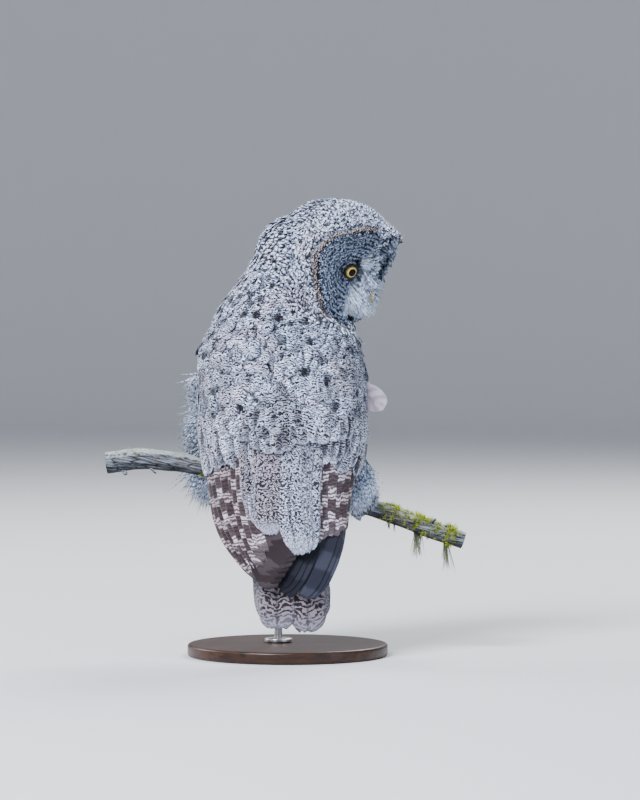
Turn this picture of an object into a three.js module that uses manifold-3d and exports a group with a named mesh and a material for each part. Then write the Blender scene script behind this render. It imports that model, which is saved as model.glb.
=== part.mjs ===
// A life-size great grey owl, seen in the pose of a bird that looks down over its right shoulder, on a cut
// length of dead branch that a plain display stand holds.
// Millimetres. +Z is up, +Y is the way the breast faces, +X is the bird's right side, and the origin is the
// middle of the stand's underside.
import * as THREE from "three";
import { mergeVertices } from "three/addons/utils/BufferGeometryUtils.js";
import Module from "manifold-3d";

const wasm = await Module();
wasm.setup();

// Driving sizes
const GAP = 0.3; // between two solids that touch
const VANE = 0.8; // thickness of a feather's vane
const CROWN_Z = 664; // top of the neck's form inside the head
const VENT_Z = 236; // lowest point of the body's flesh and down
const NECK_TILT = new THREE.Vector3(0.12, 0, 1).normalize();
const NECK_Z = 512; // height of the cut between the torso and the neck on the middle line

const HEAD = {
  centre: new THREE.Vector3(79, 10, 591),
  turn: THREE.MathUtils.degToRad(28), // past square to the body, so that the face looks a little backwards
  pitch: THREE.MathUtils.degToRad(27), // the face looks down
  side: 98,
  top: 92,
  under: 88,
  back: 101,
};
// The rim of the two facial discs: its half width and height from the middle of the face, how far forward the
// middle lies, and how far forward the rim lies at angles from straight up. The sides sweep back.
const DISC = {
  side: 94,
  high: 74,
  middleOut: 50,
  rim: [
    [0, 53],
    [16, 53],
    [30, 50],
    [46, 42],
    [59, 25],
    [67, 19.5],
    [82, 17],
    [104, 34],
    [117, 48],
    [150, 56],
    [180, 57],
  ],
  flare: 13, // how much further forward the left disc's upper corner is held
};
const EYE = {
  side: 28.5, // from the middle line to the ball's middle
  out: 35,
  up: 3,
  radius: 14,
  splay: THREE.MathUtils.degToRad(22),
  opening: 9.2, // radius of the part between the lids
  lid: 1.9,
};

const BASE = { x: 4, y: -18, radius: 150, thick: 18, chamfer: 3 };
const ROD = { x: -10, radius: 6, collarRadius: 21, collarThick: 6 };

// Sections of the feathered body from the tail's tip to the crown. Each is an ellipse round x, y with its own
// reach to the sides, the back and the breast.
const SECTIONS = [
  { z: 30, x: 12, y: -130, half: 76, back: 15, front: 10 }, // tail tip
  { z: 104, x: 11, y: -120, half: 80, back: 21, front: 14 }, // wing tips
  { z: 142, x: 6, y: -110, half: 84, back: 27, front: 20 },
  { z: 179, x: -1, y: -97, half: 88, back: 35, front: 28 },
  { z: 217, x: -6, y: -78, half: 94, back: 48, front: 40 },
  { z: 262, x: -6, y: -60, half: 103, back: 61, front: 40 }, // vent
  { z: 300, x: -3, y: -36, half: 114, back: 82, front: 66 }, // belly
  { z: 337, x: -3, y: -16, half: 118, back: 98, front: 88 },
  { z: 382, x: -3, y: -4, half: 120, back: 106, front: 104 }, // breast
  { z: 427, x: -6, y: 1, half: 120, back: 104, front: 107 },
  { z: 464, x: -7, y: 3, half: 118, back: 97, front: 100 }, // bends of the wings
  { z: 499, x: -4, y: 6, half: 107, back: 89, front: 92 },
  { z: 532, x: -8, y: 8, half: 84, back: 84, front: 88 }, // neck
  { z: 562, x: -2, y: 9, half: 66, back: 80, front: 84 },
  { z: 589, x: 4, y: 9, half: 56, back: 74, front: 78 },
  { z: 622, x: 13, y: 10, half: 52, back: 64, front: 68 },
  { z: 664, x: 20, y: 10, half: 50, back: 54, front: 58 }, // nape, inside the head
];

// The branch's middle line and its thickness, from the thick cut end to the thin one
const PERCH = {
  line: [
    [-268, 4, 287],
    [-217, 2, 293.5],
    [-148, 0, 286.6],
    [-117, -1, 279],
    [0, 0, 250.6],
    [134, 0, 218.2],
    [174, 2, 204.3],
    [214, 5, 188],
    [268, 8, 170.5],
  ],
  thickEnd: 16,
  thinEnd: 12.5,
  around: 10,
  along: 16,
};

const COLOURS = {
  plumage: 0xa9abb2,
  wing: 0x9a969a,
  tail: 0x8f8a8e,
  down: 0xb4b8c0,
  bill: 0xb9a45c,
  claw: 0x26231f,
  eye: 0xd9a520,
  bark: 0x7d8087,
  wood: 0x4a3122,
  steel: 0x8b8e92,
};

// Solids from three.js geometry

const vec = (x, y, z) => new THREE.Vector3(x, y, z);
const mix = THREE.MathUtils.lerp;
const ease = THREE.MathUtils.smoothstep;

// The geometry as a closed solid that faces outwards.
function solid(geometry) {
  const bare = new THREE.BufferGeometry().setAttribute("position", geometry.attributes.position);
  if (geometry.index) bare.setIndex(geometry.index);
  const merged = mergeVertices(bare, 1e-4);
  const corners = merged.attributes.position.array;
  const faces = Array.from(merged.index.array);
  const kept = [];
  let volume = 0;
  const point = (i) => vec(corners[3 * i], corners[3 * i + 1], corners[3 * i + 2]);
  for (let i = 0; i < faces.length; i += 3) {
    const [a, b, c] = faces.slice(i, i + 3);
    if (a === b || b === c || a === c) continue;
    kept.push([a, b, c]);
    volume += point(a).dot(point(b).cross(point(c)));
  }
  const order = volume < 0 ? kept.map(([a, b, c]) => [a, c, b]) : kept;
  return new wasm.Manifold(
    new wasm.Mesh({ numProp: 3, vertProperties: corners, triVerts: new Uint32Array(order.flat()) }),
  );
}

// A closed form from a sphere's net: place gives the point at (round, along), both 0 to 1, pole to pole.
function form(around, along, place) {
  const g = new THREE.SphereGeometry(1, around, along);
  const { position, uv } = g.attributes;
  for (let i = 0; i < position.count; i++) {
    const p = place(uv.getX(i) % 1, 1 - uv.getY(i));
    position.setXYZ(i, p.x, p.y, p.z);
  }
  return solid(g);
}

// A thin closed plate: place gives the point at (t along, u across -1 to 1, high or low face). Both faces are
// split into the same triangles, so that they can't cross where the plate curves.
function plate(rows, columns, place) {
  const corners = [];
  const faces = [];
  const wide = columns + 1;
  const each = (rows.length || rows + 1) * wide;
  const steps = rows.length ? rows : Array.from({ length: rows + 1 }, (_, i) => i / rows);
  for (const high of [true, false])
    for (const t of steps)
      for (let c = 0; c <= columns; c++) corners.push(...place(t, (2 * c) / columns - 1, high).toArray());
  const last = steps.length - 1;
  const quad = (a, b, c, d) => faces.push(a, b, c, a, c, d);
  for (let r = 0; r < last; r++)
    for (let c = 0; c < columns; c++) {
      const [a, b, e, d] = [r * wide + c, r * wide + c + 1, (r + 1) * wide + c + 1, (r + 1) * wide + c];
      quad(a, b, e, d);
      faces.push(each + a, each + e, each + b, each + a, each + d, each + e);
    }
  for (let r = 0; r < last; r++)
    for (const [c, turn] of [
      [0, false],
      [columns, true],
    ]) {
      const [a, b] = [r * wide + c, (r + 1) * wide + c];
      if (turn) quad(a, each + a, each + b, b);
      else quad(a, b, each + b, each + a);
    }
  for (let c = 0; c < columns; c++)
    for (const [r, turn] of [
      [0, true],
      [last, false],
    ]) {
      const [a, b] = [r * wide + c, r * wide + c + 1];
      if (turn) quad(a, each + a, each + b, b);
      else quad(a, b, each + b, each + a);
    }
  const g = new THREE.BufferGeometry();
  g.setAttribute("position", new THREE.BufferAttribute(new Float32Array(corners), 3));
  return solid(g.setIndex(faces));
}

// A rounded bar along a curve, closed to a point at both ends. radius gives its thickness at t, or its two
// half widths: across, and along up.
function bar(curve, radius, around, along, up = vec(0, 0, 1)) {
  return form(around, along, (round, t) => {
    const forward = curve.getTangent(THREE.MathUtils.clamp(t, 0.001, 0.999));
    const side = forward.clone().cross(up).normalize();
    const over = side.clone().cross(forward);
    const angle = round * 2 * Math.PI;
    const given = t > 0 && t < 1 ? radius(t) : 0;
    const [wide, high] = Array.isArray(given) ? given : [given, given];
    return curve
      .getPoint(t)
      .addScaledVector(side, wide * Math.cos(angle))
      .addScaledVector(over, high * Math.sin(angle));
  });
}

// 0 at both ends and 1 between them, round like the ends of an egg.
const roundEnds = (t, first, last) =>
  Math.sqrt(Math.max(0, 1 - Math.max(0, 1 - t / first) ** 2)) *
  Math.sqrt(Math.max(0, 1 - Math.max(0, 1 - (1 - t) / last) ** 2));

const joined = (solids) => wasm.Manifold.union(solids);

// The largest closed surface, so that no sealed hollow or loose scrap is left.
function whole(s) {
  const parts = s.decompose();
  return parts.reduce((best, p) => (p.volume() > best.volume() ? p : best), parts[0]);
}

// The body's outline

// A value of the sections at height z, smooth through them.
function along(z, key) {
  const rows = SECTIONS;
  let i = 0;
  while (i < rows.length - 2 && rows[i + 1].z < z) i++;
  const slope = (k) => {
    const a = rows[Math.max(0, k - 1)];
    const b = rows[Math.min(rows.length - 1, k + 1)];
    return (b[key] - a[key]) / (b.z - a.z);
  };
  const [a, b] = [rows[i], rows[i + 1]];
  const h = b.z - a.z;
  const t = THREE.MathUtils.clamp((z - a.z) / h, 0, 1);
  const [t2, t3] = [t * t, t * t * t];
  return (
    (2 * t3 - 3 * t2 + 1) * a[key] +
    (t3 - 2 * t2 + t) * h * slope(i) +
    (3 * t2 - 2 * t3) * b[key] +
    (t3 - t2) * h * slope(i + 1)
  );
}

const sectionAt = (z) => ({
  z,
  x: along(z, "x"),
  y: along(z, "y"),
  half: along(z, "half"),
  back: along(z, "back"),
  front: along(z, "front"),
});

// The point of a section at an angle from the middle of the back, out by a distance.
function roundSection(s, angle, out, shrink = 1) {
  const depth = Math.cos(angle) > 0 ? s.back : s.front;
  return vec(
    s.x + (s.half + out) * Math.sin(angle) * shrink,
    s.y - (depth + out) * Math.cos(angle) * shrink,
    s.z,
  );
}

// The angle at which the arc from the middle of the back has the length s, to the right where s is positive.
function arcAngle(section, s) {
  const step = THREE.MathUtils.degToRad(3);
  let angle = 0;
  let left = Math.abs(s);
  let here = roundSection(section, 0, 0);
  while (angle < Math.PI) {
    const next = roundSection(section, angle + step, 0);
    const length = next.distanceTo(here);
    if (length > left) return Math.sign(s) * (angle + (step * left) / length);
    left -= length;
    angle += step;
    here = next;
  }
  return Math.sign(s) * Math.PI;
}

// The point that lies s round the body from the middle of the back, at height z, out by a distance.
function onBody(s, z, out) {
  const section = sectionAt(z);
  return roundSection(section, arcAngle(section, s), out);
}

// Torso, neck and head, made as one form and parted with thin cuts

function trunk(grow) {
  return form(28, 17, (round, t) => {
    const z = mix(VENT_Z - grow, CROWN_Z + grow, (1 - Math.cos(Math.PI * t)) / 2);
    const low = Math.max(0, 1 - (z - VENT_Z + grow) / 64);
    const high = Math.max(0, 1 - (CROWN_Z + grow - z) / 44);
    const shrink = Math.sqrt(Math.max(0, 1 - low * low)) * Math.sqrt(Math.max(0, 1 - high * high));
    return roundSection(sectionAt(z), round * 2 * Math.PI, grow, shrink);
  });
}

const FACE = (() => {
  const { turn, pitch } = HEAD;
  const forward = vec(Math.cos(pitch) * Math.cos(turn), -Math.cos(pitch) * Math.sin(turn), -Math.sin(pitch));
  const up = vec(Math.sin(pitch) * Math.cos(turn), -Math.sin(pitch) * Math.sin(turn), Math.cos(pitch));
  return { forward, up, right: forward.clone().cross(up) };
})();

// A point of the head's own frame: out along the face's line of sight, to the bird's right, and up.
const onHead = (out, right, up) =>
  HEAD.centre
    .clone()
    .addScaledVector(FACE.forward, out)
    .addScaledVector(FACE.right, right)
    .addScaledVector(FACE.up, up);

// How far the rim of the two facial discs lies from the middle of the face, at an angle from straight up.
function discRim(angle) {
  const power = Math.cos(angle) > 0 ? 3 : 2.5;
  const across = Math.abs(Math.sin(angle) / DISC.side) ** power;
  const upright = Math.abs(Math.cos(angle) / DISC.high) ** power;
  const cleft = 13 * Math.exp(-((Math.min(angle, 2 * Math.PI - angle) / 0.3) ** 2));
  return (across + upright) ** (-1 / power) - cleft;
}

// How far forward the rim lies at an angle.
function rimOut(angle) {
  const turn = THREE.MathUtils.radToDeg(Math.min(angle, 2 * Math.PI - angle));
  const next = Math.max(1, DISC.rim.findIndex(([a]) => a >= turn));
  const [[a, low], [b, high]] = [DISC.rim[next - 1], DISC.rim[next]];
  const flare = angle > Math.PI ? DISC.flare * Math.exp(-(((turn - 52) / 18) ** 2)) : 0;
  return mix(low, high, (turn - a) / (b - a)) + flare;
}

// The dished face inside the rim: a pit round each eye and a ridge of bristles between them.
function faceOut(share, angle) {
  const radius = share * discRim(angle);
  const [right, up] = [radius * Math.sin(angle), radius * Math.cos(angle)];
  const sheet = mix(DISC.middleOut, rimOut(angle), share ** 1.7);
  const pit = 11 * Math.exp(-(((Math.abs(right) - EYE.side) ** 2 + (up - EYE.up) ** 2) / 27 ** 2));
  const ridge = 12 * Math.exp(-((right / 10) ** 2)) * ease(up, -62, -34) * (1 - ease(up, 14, 44));
  const lip = 4 * Math.exp(-(((share - 0.95) / 0.07) ** 2));
  return sheet - pit + ridge + lip;
}

function skull(grow) {
  const faceRows = 0.42; // share of the net's rows that the face takes
  return form(32, 17, (round, t) => {
    const angle = round * 2 * Math.PI;
    const rim = discRim(angle);
    if (t <= faceRows) {
      const share = (t / faceRows) ** 0.9;
      const radius = share * (rim + grow);
      return onHead(faceOut(share, angle) + grow, radius * Math.sin(angle), radius * Math.cos(angle));
    }
    const reach = mix(HEAD.side, Math.cos(angle) > 0 ? HEAD.top : HEAD.under, Math.cos(angle) ** 2);
    const start = Math.asin(Math.min(0.985, rim / reach));
    const turned = mix(start, Math.PI, (t - faceRows) / (1 - faceRows));
    const forward = (faceOut(1, angle) / Math.cos(start)) * Math.cos(turned);
    const out = turned < Math.PI / 2 ? forward : HEAD.back * Math.cos(turned);
    const radius = (reach + grow) * Math.sin(turned);
    const more = turned < Math.PI / 2 ? grow : -grow;
    return onHead(out + more, radius * Math.sin(angle), radius * Math.cos(angle));
  });
}

const eyeAxis = (side) =>
  FACE.forward
    .clone()
    .multiplyScalar(Math.cos(EYE.splay))
    .addScaledVector(FACE.right, side * Math.sin(EYE.splay))
    .addScaledVector(FACE.up, 0.04)
    .normalize();
const eyeCentre = (side) => onHead(EYE.out, side * EYE.side, EYE.up);

// An eyeball with its clear dome drawn out a little along its line of sight.
function eyeball(side, grow) {
  const turn = new THREE.Quaternion().setFromUnitVectors(vec(0, 0, 1), eyeAxis(side));
  return form(12, 8, (round, t) => {
    const [polar, angle] = [Math.PI * t, 2 * Math.PI * round];
    const dome = 1.6 * Math.exp(-((polar / 0.55) ** 2));
    const p = vec(Math.sin(polar) * Math.cos(angle), Math.sin(polar) * Math.sin(angle), Math.cos(polar));
    return p
      .multiplyScalar(EYE.radius + dome + grow)
      .applyQuaternion(turn)
      .add(eyeCentre(side));
  });
}

// The lids round an eye, as one ring on the ball.
function lids(side) {
  const middle = EYE.opening + EYE.lid;
  const height = Math.sqrt(EYE.radius ** 2 - middle ** 2) + 0.4;
  const profile = Array.from({ length: 6 }, (_, i) => {
    const a = (i / 5) * 2 * Math.PI;
    return new THREE.Vector2(middle + EYE.lid * Math.cos(a), height + EYE.lid * Math.sin(a));
  });
  profile[5].copy(profile[0]);
  const ring = new THREE.LatheGeometry(profile, 12);
  ring.applyQuaternion(new THREE.Quaternion().setFromUnitVectors(vec(0, 1, 0), eyeAxis(side)));
  const c = eyeCentre(side);
  return solid(ring.translate(c.x, c.y, c.z));
}

// The bill: the upper half hooks down over the lower.
const BILL = {
  upper: [onHead(40, 0, -4), onHead(61, 0, -8), onHead(73, 0, -22), onHead(71, 0, -35), onHead(66, 0, -46)],
  lower: [onHead(38, 0, -24), onHead(54, 0, -27), onHead(62, 0, -33), onHead(64, 0, -39)],
};

function upperBill(grow) {
  const curve = new THREE.CatmullRomCurve3(BILL.upper);
  const thick = (t) => roundEnds(t, 0.08, 0.02) * (1 - t * 0.88) + 0.02;
  return bar(curve, (t) => [thick(t) * 9.5 + grow, thick(t) * 10.5 + grow], 10, 9, FACE.forward);
}

// A nostril's pit in the side of the upper bill, near its root.
function nostril(side) {
  const middle = onHead(66, side * 7, -11);
  return form(6, 4, (round, t) => {
    const [polar, angle] = [Math.PI * t, 2 * Math.PI * round];
    return middle
      .clone()
      .addScaledVector(FACE.forward, 1.4 * Math.sin(polar) * Math.cos(angle))
      .addScaledVector(FACE.right, 1.8 * Math.sin(polar) * Math.sin(angle))
      .addScaledVector(FACE.up, 2.4 * Math.cos(polar));
  });
}

function lowerBill() {
  const curve = new THREE.CatmullRomCurve3(BILL.lower);
  const thick = (t) => roundEnds(t, 0.1, 0.05) * (1 - 0.75 * t);
  return bar(curve, (t) => [thick(t) * 7.5, thick(t) * 5], 10, 8, FACE.forward);
}

// Wings: a thin arm laid on the body, and vanes in tiers rooted in it

// The share of a vane's half width at t: narrow at the root and round at the tip.
const vaneShape = (t, roundness) =>
  (0.5 + 0.5 * ease(t, 0, 0.35)) * (1 - Math.max(0, (t - roundness) / (1.01 - roundness)) ** 2.4) ** 0.5;
const LONG_ROWS = [0, 0.26, 0.62, 0.92, 1];
const SHORT_ROWS = [0, 0.35, 0.75, 0.93, 1];

// A small seeded draw from 0 to 1.
function seeded(seed) {
  let state = seed;
  return () => {
    state = (state * 16807) % 2147483647;
    return state / 2147483647;
  };
}

// The folded arm and hand under the coverts: thickest along its middle, thin at its edges.
function arm(side) {
  return plate(6, 6, (t, u, high) => {
    const z = mix(492, 276, t);
    const spread = Math.sqrt(Math.max(0.02, 1 - Math.abs(2 * t - 1) ** 4));
    const inner = mix(14, 30, t);
    const outer = mix(192, 158, ease(t, 0.4, 1));
    const s = (inner + outer) / 2 + (u * spread * (outer - inner)) / 2;
    const edge = (1 - 0.6 * u ** 4) * (1 - 0.45 * (2 * t - 1) ** 4);
    return onBody(side * s, z, high ? 5 * edge : -4);
  });
}

// A vane laid on the body from one (s, z) to another. It leaves the arm at its root, lies low over a quarter
// of its length and reaches its full lift near the tip. tilt raises its outer edge, so that it laps over the
// next feather out and stays clear of it.
function laidVane({ from, to, half, low, lift, tilt, side, rows, roundness }) {
  const run = Math.hypot(to.s - from.s, to.z - from.z);
  const across = { s: (from.z - to.z) / run, z: (to.s - from.s) / run };
  return plate(rows, 2, (t, u, high) => {
    const w = half * vaneShape(t, roundness) * u;
    const s = mix(from.s, to.s, t) + w * across.s;
    const z = mix(from.z, to.z, t) + w * across.z;
    const rise = mix(1, low, ease(t, 0, 0.28)) + (lift - low) * ease(t, 0.3, 0.8);
    const out = rise + (tilt * w) / half + 0.2 * (1 - u * u) - (high ? 0 : VANE);
    return onBody(side * s, z, out);
  });
}

// One tier of like feathers, from its inner one to its outer one. Each pair of numbers gives the values of
// the two, and drop lets the tips between them down into a bow.
function tier(side, seed, row) {
  const { count, rootS, rootZ, tipS, tipZ, half, drop = 0 } = row;
  const vary = seeded(seed);
  return Array.from({ length: count }, (_, i) => {
    const f = i / (count - 1);
    const wobble = vary() - 0.5;
    const bow = drop * Math.sin(Math.PI * f);
    return laidVane({
      ...row,
      side,
      from: { s: mix(...rootS, f), z: mix(...rootZ, f) },
      to: { s: mix(...tipS, f) + 2 * wobble, z: mix(...tipZ, f) - bow + 4 * wobble },
      half: mix(...half, f),
    });
  });
}

// The tiers of a folded wing. s is measured round the body from the middle of the back towards the wing's own
// side, and z is the height. The left wing lies over the right one where their tips cross.
const PRIMARIES = {
  rootS: [110, 159],
  rootZ: [302, 306],
  half: [14, 13],
  low: 2,
  rows: LONG_ROWS,
  roundness: 0.85,
};
const SECONDARIES = {
  count: 7,
  rootS: [46, 160],
  rootZ: [350, 328],
  half: [16, 14],
  low: 4.4,
  tilt: 1.8,
  rows: LONG_ROWS,
  roundness: 0.84,
};
const TERTIALS = {
  count: 4,
  rootS: [20, 62],
  rootZ: [396, 386],
  half: [18, 17],
  low: 8,
  lift: 16,
  tilt: 1.3,
  rows: LONG_ROWS,
  roundness: 0.8,
};
const COVERTS = { tilt: 1.2, rows: SHORT_ROWS, roundness: 0.72 };
const GREATER = {
  ...COVERTS,
  count: 5,
  rootS: [86, 160],
  rootZ: [374, 372],
  tipS: [82, 148],
  tipZ: [284, 276],
  half: [14, 13],
  low: 8.4,
  lift: 8.6,
};
const MEDIAN = {
  ...COVERTS,
  count: 5,
  rootS: [90, 164],
  rootZ: [428, 426],
  tipS: [92, 154],
  tipZ: [330, 324],
  half: [15, 14],
  low: 11.6,
  lift: 11.9,
};
const SHOULDER = {
  ...COVERTS,
  count: 4,
  rootS: [21, 78],
  rootZ: [456, 452],
  tipS: [20, 78],
  tipZ: [324, 340],
  half: [18, 17],
  low: 15,
  lift: 15.4,
};
const WINGS = {
  right: [
    { ...PRIMARIES, count: 5, tipS: [-14, 39], tipZ: [92, 100], lift: 3.6, tilt: 2.6 },
    { ...SECONDARIES, tipS: [44, 110], tipZ: [176, 204], lift: 6.8 },
    { ...TERTIALS, tipS: [18, 70], tipZ: [166, 184], drop: 10 },
    GREATER,
    MEDIAN,
    SHOULDER,
  ],
  left: [
    { ...PRIMARIES, count: 4, tipS: [10, 33], tipZ: [106, 112], lift: 8.4, tilt: 1.8 },
    { ...SECONDARIES, tipS: [-20, 31], tipZ: [150, 124], drop: 2, lift: 11.8 },
    { ...TERTIALS, tipS: [20, 66], tipZ: [186, 176] },
    GREATER,
    MEDIAN,
    SHOULDER,
  ],
};

// A free blade along a curve, flat across side, with a rounded or pointed end.
function blade({ points, side, half, thick, rows, columns = 2, shape }) {
  const curve = new THREE.CatmullRomCurve3(points);
  return plate(rows, columns, (t, u, high) => {
    const forward = curve.getTangent(t);
    const up = side.clone().cross(forward).normalize();
    const across = forward.clone().cross(up).normalize();
    const crown = 0.5 * thick * (1 - u * u);
    return curve
      .getPoint(t)
      .addScaledVector(across, half * shape(t) * u)
      .addScaledVector(up, (high ? 0.5 : -0.5) * thick * (1 - 0.4 * t) + crown);
  });
}

// The one loose feather that stands off the right flank, its broad face to the back.
function looseFeather() {
  return blade({
    points: [vec(104, -22, 420), vec(122, -26, 402), vec(137, -30, 386), vec(140, -32, 366)],
    side: vec(0.75, 0, 0.66),
    half: 13.5,
    thick: 1.2,
    rows: [0, 0.35, 0.7, 0.86, 0.96, 1],
    shape: (t) => vaneShape(t, 0.6),
  });
}

function wing(name) {
  const side = name === "right" ? 1 : -1;
  const vanes = WINGS[name].flatMap((row, i) => tier(side, 31 + 7 * i + side, row));
  return joined([arm(side), ...vanes, ...(name === "right" ? [looseFeather()] : [])]);
}

// Tail: a folded fan under the wing tips, rooted in a flat pad of coverts

const TAIL = { pairs: 6, root: 284, tip: 38, apart: 25, half: 24.5, depth: 1.25, under: 5 };

// A point of the tail: x from its middle, height, and depth below the wings.
function onTail(x, z, depth) {
  const s = sectionAt(z);
  return vec(s.x + x, s.y - s.back + TAIL.under + depth + (x * x) / 260, z);
}

// The middle pair lies on top, and each pair further out lies under the one before it.
function tailFeather(side, pair) {
  const depth = TAIL.depth * (2 * pair + (side > 0 ? 1 : 0));
  return plate(LONG_ROWS, 2, (t, u, high) => {
    const half = TAIL.half * (0.35 + 0.65 * ease(t, 0, 0.6)) * vaneShape(t, 0.9);
    const x = side * mix(7, TAIL.apart + 1.2 * pair, ease(t, 0, 0.75)) + half * u;
    const z = mix(TAIL.root, TAIL.tip + 4 * pair + (side > 0 ? 0 : 4), t);
    return onTail(x, z, depth + (high ? 0 : VANE));
  });
}

// A covert under the tail's root, counted from -1 to 1 across it.
function underCovert(place) {
  return plate(SHORT_ROWS, 2, (t, u, high) => {
    const x = place * mix(14, 24, t) + 19 * vaneShape(t, 0.5) * u;
    const z = mix(268, 150 + 12 * Math.abs(place), t);
    const depth = TAIL.depth * 2 * TAIL.pairs + 3 + 1.6 * (1 - Math.abs(place));
    return onTail(x, z, depth + (high ? 0 : VANE));
  });
}

function tail() {
  const pad = form(12, 7, (round, t) => {
    const z = mix(206, 300, (1 - Math.cos(Math.PI * t)) / 2);
    const angle = round * 2 * Math.PI;
    const r = Math.sin(Math.PI * t);
    return onTail(38 * r * Math.sin(angle), z, 10.5 + 10.5 * r * Math.cos(angle));
  });
  const feathers = [0, 1, 2, 3, 4, 5].flatMap((pair) => [tailFeather(-1, pair), tailFeather(1, pair)]);
  return joined([pad, ...feathers, ...[-1, 0, 1].map(underCovert)]);
}

// The branch

const perchCurve = new THREE.CatmullRomCurve3(PERCH.line.map((p) => vec(...p)));
const perchRadius = (t) => mix(PERCH.thickEnd, PERCH.thinEnd, ease(t, 0, 0.45));

// Where the branch's middle line passes x, and how thick the branch is there.
function perchAt(x) {
  let [low, high] = [0, 1];
  for (let i = 0; i < 30; i++) {
    const middle = (low + high) / 2;
    if (perchCurve.getPoint(middle).x < x) low = middle;
    else high = middle;
  }
  return { point: perchCurve.getPoint(low), along: perchCurve.getTangent(low), radius: perchRadius(low) };
}

function branch(grow) {
  const g = new THREE.CylinderGeometry(1, 1, 1, PERCH.around, PERCH.along);
  const { position } = g.attributes;
  for (let i = 0; i < position.count; i++) {
    const t = position.getY(i) + 0.5;
    const [a, b] = [position.getX(i), position.getZ(i)];
    const angle = Math.atan2(b, a);
    const tangent = perchCurve.getTangent(t);
    const side = tangent.clone().cross(vec(0, 0, 1)).normalize();
    const up = side.clone().cross(tangent);
    const rough = 1 + 0.035 * Math.sin(3 * angle + 9 * t) + 0.03 * Math.sin(31 * t + 2 * angle);
    const r = perchRadius(t) * rough + grow;
    const p = perchCurve
      .getPoint(t)
      .addScaledVector(side, a * r)
      .addScaledVector(up, b * r)
      .addScaledVector(tangent, grow * Math.sign(t - 0.5) * (t < 0.01 || t > 0.99 ? 1 : 0));
    position.setXYZ(i, p.x, p.y, p.z);
  }
  return solid(g);
}

// Broken side twigs: where they leave the branch, which way they point, how long and thick they are.
const TWIGS = [
  { x: -217, way: vec(0.7, -0.35, -0.62), length: 34, radius: 2.2 },
  { x: -246, way: vec(0.3, -0.4, -0.85), length: 24, radius: 4.5 },
  { x: 158, way: vec(-0.1, -0.2, -0.95), length: 22, radius: 1.8 },
  { x: 212, way: vec(0.55, -0.5, 0.65), length: 24, radius: 3.5 },
];

function perch() {
  const twigs = TWIGS.map(({ x, way, length, radius }) => {
    const root = perchAt(x).point;
    const end = root.clone().addScaledVector(way.clone().normalize(), length);
    const thick = (t) => radius * roundEnds(t, 0.02, 0.12) * (1 - 0.35 * t);
    return bar(new THREE.LineCurve3(root, end), thick, 6, 4, vec(0, 1, 0));
  });
  return joined([branch(0), ...twigs]);
}

// Legs and feet

// hip is where the leg leaves the belly, and fan says where its longest feathers hang past the branch: on
// which face of it, how far along it and how low.
const LEGS = {
  left: {
    x: -98,
    hip: vec(-80, 10, 334),
    wide: 23,
    fan: { face: 1, from: -154, to: -100, low: 212, count: 7 },
  },
  right: {
    x: 112,
    hip: vec(78, -2, 326),
    wide: 23,
    fan: { face: -1, from: 98, to: 134, low: 206, count: 5 },
  },
};
const TOE = { radius: 7.5, claw: 3.3, clawArc: 1.05 };
// Two toes reach forward over the branch and two back: where along it they lie, and how far round they go.
const TOES = [
  { name: 1, spread: -13, way: 1, reach: 1.75 },
  { name: 2, spread: 9, way: 1, reach: 1.85 },
  { name: 3, spread: 17, way: -1, reach: 1.5 },
  { name: 4, spread: -7, way: -1, reach: 1.6 },
];

// A point round the branch near a foot: angle 0 is on top, positive towards the breast.
function roundPerch(foot, spread, angle, clear) {
  const up = vec(0, 0, 1).addScaledVector(foot.along, -foot.along.z).normalize();
  const front = up.clone().cross(foot.along).normalize();
  const r = foot.radius * 1.07 + clear;
  return foot.point
    .clone()
    .addScaledVector(foot.along, spread)
    .addScaledVector(up, r * Math.cos(angle))
    .addScaledVector(front, r * Math.sin(angle));
}

function toe(foot, { spread, way, reach }, grow) {
  const points = Array.from({ length: 5 }, (_, i) => {
    const f = i / 4;
    const clear = mix(TOE.radius + 5, TOE.radius + 0.8, ease(f, 0, 0.5));
    return roundPerch(foot, spread * (0.35 + 0.65 * ease(f, 0, 0.5)), way * f * reach, clear);
  });
  const thick = (t) => TOE.radius * roundEnds(t, 0.15, 0.14) * (1.15 - 0.3 * t) + grow;
  return bar(new THREE.CatmullRomCurve3(points), thick, 6, 6, foot.along);
}

function claw(foot, { spread, way, reach }, grow) {
  const points = Array.from({ length: 5 }, (_, i) => {
    const f = i / 4;
    return roundPerch(foot, spread, way * (reach - 0.3 + TOE.clawArc * f), TOE.claw + mix(4, 0.6, f));
  });
  const thick = (t) => (TOE.claw * (1 - 0.86 * t) + grow) * roundEnds(t, 0.08, 0.02);
  return bar(new THREE.CatmullRomCurve3(points), thick, 5, 5, foot.along);
}

// A flat tapered lock of loose feathers along a curve, its broad face across side.
function lock(points, side, half, grow) {
  return blade({
    points,
    side,
    half: half + grow,
    thick: 2 + 2 * grow,
    rows: [0, 0.5, 0.85, 1],
    columns: 1,
    shape: (t) => 1 - 0.78 * ease(t, 0.6, 1),
  });
}

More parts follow.
